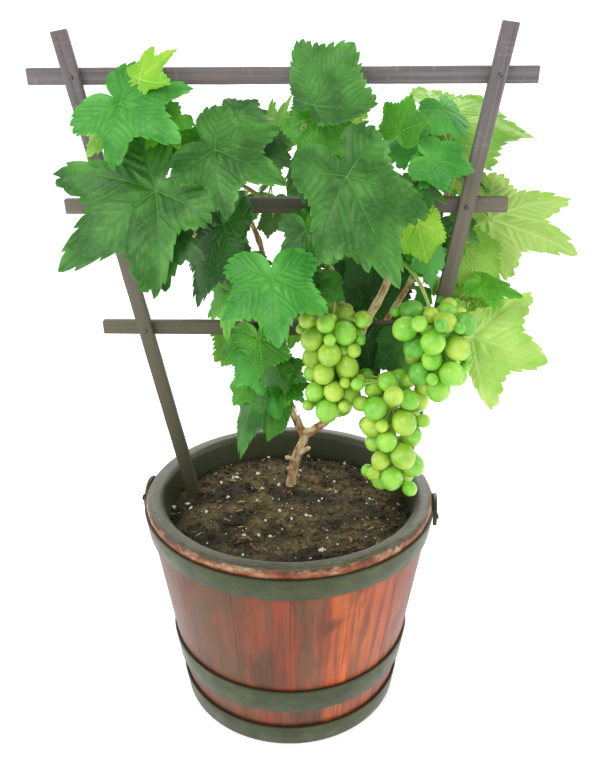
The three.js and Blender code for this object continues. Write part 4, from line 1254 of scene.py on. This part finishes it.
def ribs_of(leaf):
    """The leaf's ribs and their side veins, as lines on the flat blade: (points, width at the start)."""
    lines = []
    branches = dict(zip((0, side_lobe, basal_lobe), (8, 7, 5) if leaf.fine else (4, 3, 2)))
    stretch = np.array([1, leaf.width])
    for axis in (0, side_lobe, -side_lobe, basal_lobe, -basal_lobe):
        angle = math.radians(axis)
        far = float(reach([axis], leaf.sinus, leaf.heel)[0])
        ahead = np.array([math.cos(angle), math.sin(angle)])
        bow = 0.05 * far * np.array([-ahead[1], ahead[0]]) * (np.sign(axis) if axis else 0)
        count = 13 if leaf.fine else 6
        shares = np.linspace(0, 0.97, count)
        line = np.array([ahead * far * s + bow * math.sin(math.pi * s) for s in shares])
        lines.append((line * stretch, 1.0 if axis == 0 else 0.85))
        inner, outer = {0: (0, 26), side_lobe: (23, 80), basal_lobe: (78, 168)}[abs(axis)]
        veins = branches[abs(axis)]
        for k in range(veins):
            for side in (-1, 1):
                share = 0.13 + 0.78 * (k + 0.5 + 0.22 * side) / veins
                place = ahead * far * share + bow * math.sin(math.pi * share)
                turn = angle + side * math.radians(52 - 12 * share)
                step = 0.05 if leaf.fine else 0.09
                line = [place]
                for _ in range(18):
                    place = place + step * np.array([math.cos(turn), math.sin(turn)])
                    turn -= side * math.radians(55) * step
                    polar = math.degrees(math.atan2(place[1], place[0]))
                    if axis < 0:
                        polar = -polar
                    if axis and not inner < polar < outer or not axis and abs(polar) > outer:
                        break
                    if np.hypot(*place) > 0.94 * reach([polar], leaf.sinus, leaf.heel)[0]:
                        break
                    line.append(place)
                if len(line) > 2:
                    lines.append((np.array(line) * stretch, 0.42 * (1 - 0.5 * share)))
    return lines


def near_rib(x, y, lines):
    """How far each place on the flat blade lies from the nearest rib."""
    starts = np.concatenate([line[:-1] for line, _width in lines])
    runs = np.concatenate([line[1:] for line, _width in lines]) - starts
    places = np.stack([x, y], -1)[:, None]
    share = np.clip(((places - starts) * runs).sum(-1) / (runs**2).sum(-1), 0, 1)
    return np.hypot(*np.moveaxis(places - starts - share[..., None] * runs, -1, 0)).min(1)


def rise_at(leaf, x, y, from_rib):
    """How high the blade stands over its flat plan: arched, fallen at the sides, puckered between ribs."""
    out = np.hypot(x, y / leaf.width)
    turn = np.arctan2(y, x)
    rise = -leaf.fall * (np.sqrt(y**2 + 0.002) - 0.045) + leaf.arch * out * (1 - out)
    pucker = 0.036 if leaf.fine else 0.02
    rise += pucker * (1 - np.exp(-((from_rib / 0.045) ** 2)))
    rise += 0.03 * out**2 * np.sin(5 * turn + leaf.wave) + 0.02 * out**3 * np.sin(11 * turn - leaf.wave)
    rise += 0.008 * np.sin(9 * x + 2 * leaf.wave) * np.sin(8 * y - leaf.wave)
    return rise


def blade(leaf):
    """One side of the blade, with its toothed edge: corners, faces and nearness to a rib."""
    if leaf.fine:
        teeth, bite = (7, 8, 7), 0.062
        steps = ((0, 0.3), (0.3, 0.05), (0.62, -0.35), (0.82, -1.0))
        shares = [0.12, 0.26, 0.4, 0.54, 0.67, 0.79, 0.89, 0.96, 1]
    else:
        teeth, bite = (4, 4, 4), 0.08
        steps = ((0, 0.3), (0.4, 0), (0.78, -1.0))
        shares = [0.22, 0.45, 0.68, 0.87, 1]
    if leaf.length > 36 * mm:
        shares = [*np.arange(0.05, 0.98, 0.043), 1]
    turns, tooth = [], []
    for begin, end, count in zip((0, side_lobe, basal_lobe), (side_lobe, basal_lobe, 180), teeth):
        for k in range(count):
            for where, depth in steps:
                turns.append(mix(begin, end, (k + where) / count))
                fade = 1 if begin < basal_lobe else 1 - (k + where) / count
                uneven = 1 + 0.45 * math.sin(2.3 * k + begin + leaf.wave)
                tooth.append(depth * bite * fade * uneven)
    turns += [180] + [-turn for turn in turns[:0:-1]]
    tooth += [0] + tooth[:0:-1]
    turns, tooth = np.array(turns), np.array(tooth)
    angle = np.radians(turns)
    far = reach(turns, leaf.sinus, leaf.heel, 1.6)
    x, y = [np.zeros(1)], [np.zeros(1)]
    for share in shares:
        out = far * share * (1 + tooth * np.clip((share - 0.6) / 0.4, 0, 1) ** 2)
        x.append(out * np.cos(angle))
        y.append(leaf.width * out * np.sin(angle))
    x, y = np.concatenate(x), np.concatenate(y)
    lines = ribs_of(leaf)
    from_rib = near_rib(x, y, lines)
    corners = leaf.lay(x, y, rise_at(leaf, x, y, from_rib))
    count = len(turns)
    cells = [(i, (i + 1) % count) for i in range(count) if i != turns.argmax()]
    faces = [(0, 1 + i, 1 + after) for i, after in cells]
    for ring in range(len(shares) - 1):
        first = 1 + ring * count
        for i, after in cells:
            a, b = first + i, first + after
            faces.append((a, a + count, b + count, b))
    return corners, faces, np.exp(-from_rib / 0.024), lines


def rib_skin(leaf, lines, side, thick):
    """The ribs as fine raised lines on one side of the blade."""
    half = (0.2 + 0.0042 * leaf.length / mm) * mm * (1.0 if side > 0 else 1.6)
    height = (0.16 if side > 0 else 0.5) * half
    for line, width in lines:
        along = np.gradient(line, axis=0)
        along /= np.hypot(*along.T)[:, None]
        off = np.stack([-along[:, 1], along[:, 0]], -1)
        size = half * width * np.linspace(1, 0.25, len(line))
        rows = []
        for sideways, lift in ((-1, -0.1), (0, 1), (1, -0.1)):
            x, y = (line + off * (sideways * size / leaf.length)[:, None]).T
            rise = rise_at(leaf, x, y, np.zeros(len(line)))
            lifted = side * (lift * height * size / half + (thick if side < 0 else 0)) / leaf.length
            rows.append(leaf.lay(x, y, rise + lifted))
        corners = np.stack(rows, 1).reshape(-1, 3)
        faces = []
        for k in range(len(line) - 1):
            for i in range(3):
                a, b = 3 * k + i, 3 * k + (i + 1) % 3
                faces.append((a, b, b + 3, a + 3) if side < 0 else (a, a + 3, b + 3, b))
        last = 3 * (len(line) - 1)
        ends = [(0, 2, 1), (last, last + 1, last + 2)]
        faces += [face[::-1] for face in ends] if side > 0 else ends
        yield corners, faces


def leaf_finish(name, top, deep, under, crease_shade, rib):
    """The finishes of one tone of leaf: its face, its underside and its ribs."""
    finishes = []
    for part, colour, dark, gloss in (("face", top, deep, 0.38), ("underside", under, top, 0.62)):
        finish = Finish(f"{name}_leaf_{part}", Roughness=gloss, Specular_IOR_Level=0.36)
        cloud = finish.noise(finish.place(42), detail=3)
        cells = finish.noise(finish.place(420), detail=3)
        blend = finish.mix(finish.ramp(cloud, (0.38, 0.0), (0.62, 1.0)), shade(*dark), shade(*colour))
        blend = finish.over(blend, cells, under, (0.5, 0.0), (0.7, 0.3))
        # On the face the blade is painted darker beside the ribs: painted shade in the furrows along them.
        # On the underside it takes the paler colour of the ribs.
        beside = crease_shade if part == "face" else rib
        blend = finish.mix(finish.combine("MULTIPLY", finish.stored("near_rib"), 0.6), blend, shade(*beside))
        finish.colour(blend)
        finish.rough(finish.ramp(cells, (0.35, gloss - 0.06), (0.65, gloss + 0.12)))
        finish.bump(cells, 0.35 * mm, 0.9)
        finishes.append(finish)
    finish = Finish(name + "_leaf_ribs", Roughness=0.55, Specular_IOR_Level=0.3)
    cloud = finish.noise(finish.place(150))
    line = [0.4 * a + 0.6 * b for a, b in zip(top, rib)]
    finish.colour(finish.mix(cloud, shade(*line), shade(*rib)))
    return [*finishes, finish]


# Each tone: the face, its deeper patches, the underside, the painted shade beside the ribs on the face, and
# the ribs.
tones = {
    # The dark tone is partly the deeper green of older leaves and partly painted shade, for leaves deep in
    # the vine and behind it.
    "dark": ((60, 118, 42), (36, 90, 26), (100, 146, 80), (20, 64, 16), (84, 134, 60)),
    "mid": ((84, 154, 56), (42, 102, 24), (110, 158, 78), (32, 86, 20), (96, 150, 64)),
    "fresh": ((88, 178, 66), (54, 144, 40), (120, 180, 82), (36, 118, 28), (112, 182, 78)),
    "bright": ((92, 176, 36), (58, 138, 22), (134, 186, 70), (48, 118, 18), (136, 196, 74)),
    # The light and pale tones are partly painted light: they stand in for light shining through leaves from
    # behind.
    "light": ((158, 206, 84), (118, 178, 54), (168, 208, 98), (128, 182, 62), (206, 228, 144)),
    "pale": ((194, 226, 118), (152, 204, 80), (204, 230, 144), (164, 210, 92), (226, 240, 172)),
    "young": ((160, 208, 48), (112, 182, 28), (178, 214, 92), (130, 190, 44), (204, 226, 122)),
}
leaf_finishes = {}
for tone, colours in tones.items():
    leaf_finishes[tone] = leaf_finish(tone, *colours)
all_leaf_finishes = [finish for trio in leaf_finishes.values() for finish in trio[:2]]
rib_finishes = [trio[2] for trio in leaf_finishes.values()]
tone_number = {tone: i for i, tone in enumerate(tones)}
leaf_thick = 0.38 * mm

# Smaller leaves that the same rule grows on from each shoot, in what room its own leaves leave.
held = []
for leaf in leaves:
    edge = leaf.solid_edge()
    for share in (0.35, 0.7, 1):
        held += list(np.array(leaf.at) + (edge - np.array(leaf.at)) * share)
taken = kdtree.KDTree(len(held))
for i, corner in enumerate(held):
    taken.insert(Vector(corner), i)
taken.balance()
small_slots, small_tries, most_small, room_round = 12, 10, 7, 5 * mm
for name, shoot in shoots.items():
    low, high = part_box("shoot_" + name)
    draw = seeded(shoot["seed"] + 500)
    grown = []
    small = dict(shoot, size=shoot["size"] * 0.5, leaves=small_slots)
    for slot in range(small_slots):
        tone = "young" if slot > 9 else shoot["tones"].split()[slot % 3]
        for attempt in range(small_tries):
            leaf = rule_leaf(small, slot, attempt, draw, tone)
            spots = leaf.solid_edge()
            inside = (spots > np.array(low) - 3 * mm).all() and (spots < np.array(high) + 3 * mm).all()
            room = all(taken.find(Vector(spot))[2] > room_round for spot in spots[::2])
            apart = all((leaf.at - other.at).length > 0.8 * leaf.length for other in grown)
            if inside and room and apart:
                grown.append(leaf)
                break
    shoot["kept"] += grown[:most_small]

green_wood = Stock()
for name, shoot in shoots.items():
    sheet, ribs = Stock(), Stock()
    for leaf in shoot["kept"]:
        corners, faces, near, lines = blade(leaf)
        sheet.add(corners, faces, 2 * tone_number[leaf.tone], near)
        for side in ((1, -1) if leaf.fine else (1,)):
            shown = lines if leaf.fine else lines[:12]
            for skin in rib_skin(leaf, shown, side, leaf_thick):
                ribs.add(*skin, tone_number[leaf.tone])
        span = (leaf.at - leaf.start).length
        bend = leaf.at.lerp(leaf.start, 0.45) - leaf.along * 0.2 * span - leaf.up * 0.15 * span
        end = Vector(leaf.lay(0.05, 0, -0.012))
        radius = (0.55 + 0.007 * leaf.length / mm) * mm
        shares = [k / 9 for k in range(10)]
        places = [quadratic(leaf.start, bend, end, share) for share in shares]
        sizes = [radius * (1.35 - 0.5 * min(1, share * 6)) * (1 - 0.25 * share) for share in shares]
        green_wood.add(*tube(places, sizes, 8), 1)
    piece = sheet.piece("leaves_" + name, all_leaf_finishes, "near_rib")
    back_finish = {"material_offset": 1, "material_offset_rim": 1}
    apply_modifier(piece, "SOLIDIFY", thickness=leaf_thick, offset=-1, **back_finish)
    seat(piece, ["shoot_" + name], smooth=60)
    seat(ribs.piece("leaf_ribs_" + name, rib_finishes), smooth=60)
    shares = [k / 16 for k in range(17)]
    places = [quadratic(*shoot["stem"], share) for share in shares]
    sizes = [(1.75 - 0.6 * share + (0.35 if k % 4 == 0 else 0)) * mm for k, share in enumerate(shares)]
    green_wood.add(*tube(places, sizes, 10), 0)

# Tendrils: thin green threads that reach out from the shoots and coil at their ends.
chance = random.Random(9)
tendril_steps, straight = 45, 0.45
tendrils = "left_wide left_inner top low_middle right_hang right_inner left_low right_low".split()
for name in (*tendrils, "back_left", "back_right"):
    a, b, c = shoots[name]["stem"]
    start = quadratic(a, b, c, chance.uniform(0.5, 0.95))
    faces = Vector(shoots[name]["faces"]).normalized()
    stray = Vector((chance.uniform(-1, 1), chance.uniform(-0.3, 0.3), chance.uniform(-0.6, 0.3)))
    heading = (faces * 0.6 + stray).normalized()
    side = heading.orthogonal().normalized()
    other = heading.cross(side)
    run = chance.uniform(16, 26) * mm
    places = []
    for k in range(tendril_steps + 1):
        share = k / tendril_steps
        coil = max(0.0, share - straight) / 0.55
        turn = coil * 5.5 * math.pi
        wide = 2.6 * mm * min(1, coil * 4) * (1 - 0.55 * coil)
        bow = upright * -5 * mm * share**2
        far = share if share < straight else straight + 0.4 * (share - straight)
        place = start + heading * run * far + bow
        places.append(place + side * wide * math.cos(turn) + other * wide * math.sin(turn))
    sizes = [mix(0.42, 0.16, k / tendril_steps) * mm for k in range(tendril_steps + 1)]
    green_wood.add(*tube(places, sizes, 6), 1)

ridged = ((0.35, (116, 140, 66)), (0.6, (150, 150, 84)), (0.75, (160, 110, 76)))
stem_green = one_pattern("green_stem", (160, 160, 60), 3, 0.15 * mm, *ridged, Roughness=0.5)
blush = ((0.34, (146, 184, 84)), (0.56, (168, 192, 98)), (0.72, (184, 128, 92)))
stalk_green = one_pattern("leaf_stalk", 70, 2, 0.1 * mm, *blush, Roughness=0.5)
stalks = green_wood.piece("green_stems_and_stalks", [stem_green, stalk_green])
seat(stalks, smooth=60)

# ---- Bunches of grapes ----
# Three bunches of unripe table grapes hang from the canes. Each berry sits on a short stalk that forks
# from the bunch's main stem; the skins are tight, pale green and dull with bloom.
bunches = {
    "grapes_left": {
        "from": ("cane_middle", 0.46), "top": (31, -26, 330), "tip": (31, -31, 264),
        "width": 47, "berries": 22, "seed": 11, "tones": (0, 0, 1),
    },
    "grapes_right": {
        "from": ("cane_right", 0.62), "top": (97, -43, 338), "tip": (104, -44, 292),
        "width": 52, "berries": 21, "seed": 23, "tones": (1, 2, 0, 1),
    },
    "grapes_low": {
        "from": ("cane_right_low", 1), "top": (73, -44, 288), "tip": (76, -48, 213),
        "width": 52, "berries": 23, "seed": 37, "tones": (1, 0, 1, 0),
    },
}
berry_radius, berry_gap, main_stem_radius = 8 * mm, 0.25 * mm, 1.3 * mm
golden_turn = math.pi * (3 - math.sqrt(5))
settled = []


def berries_of(bunch):
    """The berries start on a spiral that tapers to the tip, then push each other apart."""
    draw = seeded(bunch["seed"])
    high, low = Vector(bunch["top"]) * mm, Vector(bunch["tip"]) * mm
    berries = []
    for i in range(bunch["berries"]):
        share = (i + 0.5) / bunch["berries"]
        radius = berry_radius * (0.72 + 0.36 * math.sqrt(draw()))
        out = (bunch["width"] * mm / 2 - berry_radius) * min(1, 0.55 + 2.5 * share)
        out *= math.sqrt(1.15 - share)
        turn = i * golden_turn + draw()
        centre = high.lerp(low, share) + Vector((out * math.cos(turn), out * math.sin(turn), 0))
        berries.append([centre, radius])
    for _ in range(60):
        for i, (_centre, radius) in enumerate(berries):
            for j in range(i):
                apart = berries[i][0] - berries[j][0]
                short = radius + berries[j][1] + berry_gap - apart.length
                if short > 0:
                    berries[i][0] += apart.normalized() * short / 2
                    berries[j][0] -= apart.normalized() * short / 2
            centre = berries[i][0]
            for other, size in settled:
                apart = centre - other
                short = radius + size + 2 * berry_gap - apart.length
                if short > 0:
                    centre += apart.normalized() * short
            share = min(1, max(0, (high.z - centre.z) / (high.z - low.z)))
            away = centre - high.lerp(low, share)
            away.z = 0
            needed = radius + main_stem_radius + berry_gap - away.length
            if needed > 0:
                centre += away.normalized() * needed
    settled.extend(berries)
    return berries


berry = begin("round_berry", "ico_sphere", subdivisions=4, radius=1)
for corner in berry.data.vertices:
    x, y, z = corner.co
    corner.co.z = z * 1.05 + (0.045 * math.exp(-((1 - z) / 0.05) ** 2) if z > 0 else 0)
round_berry = np.array([corner.co for corner in berry.data.vertices])
berry_faces = [list(face.vertices) for face in berry.data.polygons]
bpy.data.objects.remove(berry)
small_grain = pebble(2, 0.0, 0)

berry_tones = [
    ("yellow_green", (190, 216, 84), (138, 190, 40)),
    ("green", (166, 218, 80), (114, 190, 40)),
    ("blue_green", (136, 204, 80), (84, 166, 40)),
]
berry_finishes = []
extra_tries, most_extra = 2400, 22
for name, pale, deep in berry_tones:
    skin = Finish(
        name + "_grape", Roughness=0.3, Coat_Weight=0.25, Coat_Roughness=0.3,
        Subsurface_Weight=0.75, Subsurface_Radius=(1.0, 1.0, 0.35), Subsurface_Scale=6 * mm,
    )
    cloud = skin.noise(skin.place(70), detail=3)
    bloom = skin.noise(skin.place(150), detail=5, roughness=0.65)
    specks = skin.noise(skin.place(1400), detail=1)
    flesh = skin.mix(skin.ramp(cloud, (0.32, 0.0), (0.68, 1.0)), shade(*deep), shade(*pale))
    flesh = skin.over(flesh, bloom, (190, 214, 160), (0.5, 0.0), (0.74, 0.24))
    flesh = skin.over(flesh, specks, (110, 130, 60), (0.68, 0.0), (0.74, 0.3))
    skin.colour(flesh)
    skin.rough(skin.ramp(bloom, (0.35, 0.24), (0.7, 0.46)))
    berry_finishes.append(skin)
scarred = ((0.3, (70, 56, 34)), (0.7, (112, 92, 54)))
berry_finishes.append(one_pattern("blossom_scar", 1200, 3, None, *scarred, Roughness=0.8))

for name, bunch in bunches.items():
    chance = random.Random(bunch["seed"])
    skins, stems = Stock(), Stock()
    limb, share = bunch["from"]
    start = bends[limb].at(share)
    top, tip = Vector(bunch["top"]) * mm, Vector(bunch["tip"]) * mm
    bend = start.lerp(top, 0.6)
    bend.z = max(start.z, top.z) + 2 * mm
    places = [quadratic(start, bend, top, k / 10) for k in range(11)]
    places += [top.lerp(tip, k / 8) for k in range(1, 9)]
    sizes = [main_stem_radius * (1.25 - 0.5 * k / 18) for k in range(19)]
    stems.add(*tube(places, sizes, 10))
    berries = [(centre, radius) for centre, radius in berries_of(bunch)]
    for attempt in range(extra_tries):
        share = chance.uniform(-0.04, 1)
        turn = chance.uniform(0, 2 * math.pi)
        radius = mix(7.2, 2.8, (attempt / extra_tries) ** 0.6) * mm
        out = math.sqrt(chance.random()) * (bunch["width"] * mm / 2 - 0.6 * radius) * (1.1 - 0.3 * share)
        centre = top.lerp(tip, share) + Vector((out * math.cos(turn), out * math.sin(turn), 0))
        if all((centre - other).length > radius + size - 0.5 * mm for other, size in berries):
            berries.append((centre, radius))
        if len(berries) > bunch["berries"] + most_extra:
            break
    for number, (centre, radius) in enumerate(berries):
        share = min(1, max(0, (top.z - centre.z - radius * 0.6) / (top.z - tip.z)))
        fork = top.lerp(tip, max(0, share - 0.08))
        away = (centre - fork).normalized()
        seat_of_stalk = centre - away * radius * 0.98
        middle = fork.lerp(seat_of_stalk, 0.5) + upright * 0.12 * (seat_of_stalk - fork).length
        places = [quadratic(fork, middle, seat_of_stalk, k / 6) for k in range(7)]
        thin = 0.42 * mm + 0.035 * radius
        stems.add(*tube(places, [thin * size for size in (1.4, 1.05, 1, 1, 1.05, 1.35, 2.1)], 8))
        turn = np.array(away.to_track_quat("Z", "Y").to_matrix())
        full = chance.uniform(0.97, 1.03)
        shape = np.array([1, full, chance.uniform(0.98, 1.05)])
        tone = bunch["tones"][number % len(bunch["tones"])]
        skins.add((round_berry * shape) @ turn.T * radius + np.array(centre), berry_faces, tone)
        corners, faces = small_grain
        dot = corners * np.array([0.07, 0.07, 0.03]) + [0, 0, 1.055 * shape[2]]
        skins.add(dot @ turn.T * radius + np.array(centre), faces, 3)
    seat(skins.piece("berries_of_" + name, berry_finishes), [name], smooth=60)
    seat(stems.piece("stalks_of_" + name, [stalk_green]), smooth=60)

# ---- Floor, light and camera ----
# A plain white floor and backdrop under four broad soft boxes: one high in front to the left, one at each
# side and one behind, in a bright room.



def white_sheet(name, at, tilt, scale, greys, shine, glow):
    """A wide, softly glowing white sheet."""
    sheet = begin(name, "plane", size=14, location=at, rotation=(tilt, 0, 0))
    stops = [(end, (grey, grey, grey)) for end, grey in enumerate(greys)]
    surface = {"Roughness": 0.95, "Specular_IOR_Level": shine, "Emission_Strength": glow}
    paint = one_pattern(name, scale, 3, None, *stops, Emission_Color=(1, 1, 1, 1), **surface)
    sheet.data.materials.append(paint.material)
    return sheet


floor = white_sheet("studio_floor", (0, 0, 0), 0, 3, (236, 242), 0.05, 0.42)
floor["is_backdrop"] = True
backdrop = white_sheet("white_backdrop", (0, 5, 0), math.pi / 2, 2, (238, 244), 0.0, 0.6)
backdrop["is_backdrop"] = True

room = bpy.data.worlds.new("bright_room")
bpy.context.scene.world = room
room.use_nodes = True
room.node_tree.nodes["Background"].inputs["Color"].default_value = (1, 1, 1, 1)
room.node_tree.nodes["Background"].inputs["Strength"].default_value = 0.8


def soft_box(name, at, aim, size, watts):
    """A square soft box that looks at a point."""
    light = bpy.data.lights.new(name, "AREA")
    light.shape, light.size, light.energy = "SQUARE", size, watts
    box = bpy.data.objects.new(name, light)
    bpy.context.scene.collection.objects.link(box)
    box.location = at
    box.rotation_euler = (Vector(at) - Vector(aim)).to_track_quat("Z", "Y").to_euler()


soft_box("key_light", (-0.9, -1.3, 1.9), (0, 0, 0.25), 0.9, 14)
soft_box("right_light", (1.5, -0.3, 0.9), (0, 0, 0.2), 0.9, 6)
soft_box("left_light", (-1.5, -0.2, 0.6), (0, 0, 0.2), 0.8, 5)
soft_box("back_light", (0.3, 1.4, 1.5), (0, 0, 0.35), 1.1, 9)

lens = bpy.data.cameras.new("camera")
lens.lens, lens.sensor_width = 35.43, 36
camera = bpy.data.objects.new("camera", lens)
bpy.context.scene.collection.objects.link(camera)
camera.location = (0, -0.533, 0.4844)
camera.rotation_euler = (math.radians(90 - 21.72), 0, math.radians(-0.888))
bpy.context.scene.camera = camera
bpy.context.scene.view_settings.view_transform = "Standard"

bpy.context.view_layer.update()
boxes = {"cad": cad_box, "visual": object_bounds()}
{name: [[float(side) for side in corner] for corner in box] for name, box in boxes.items()}
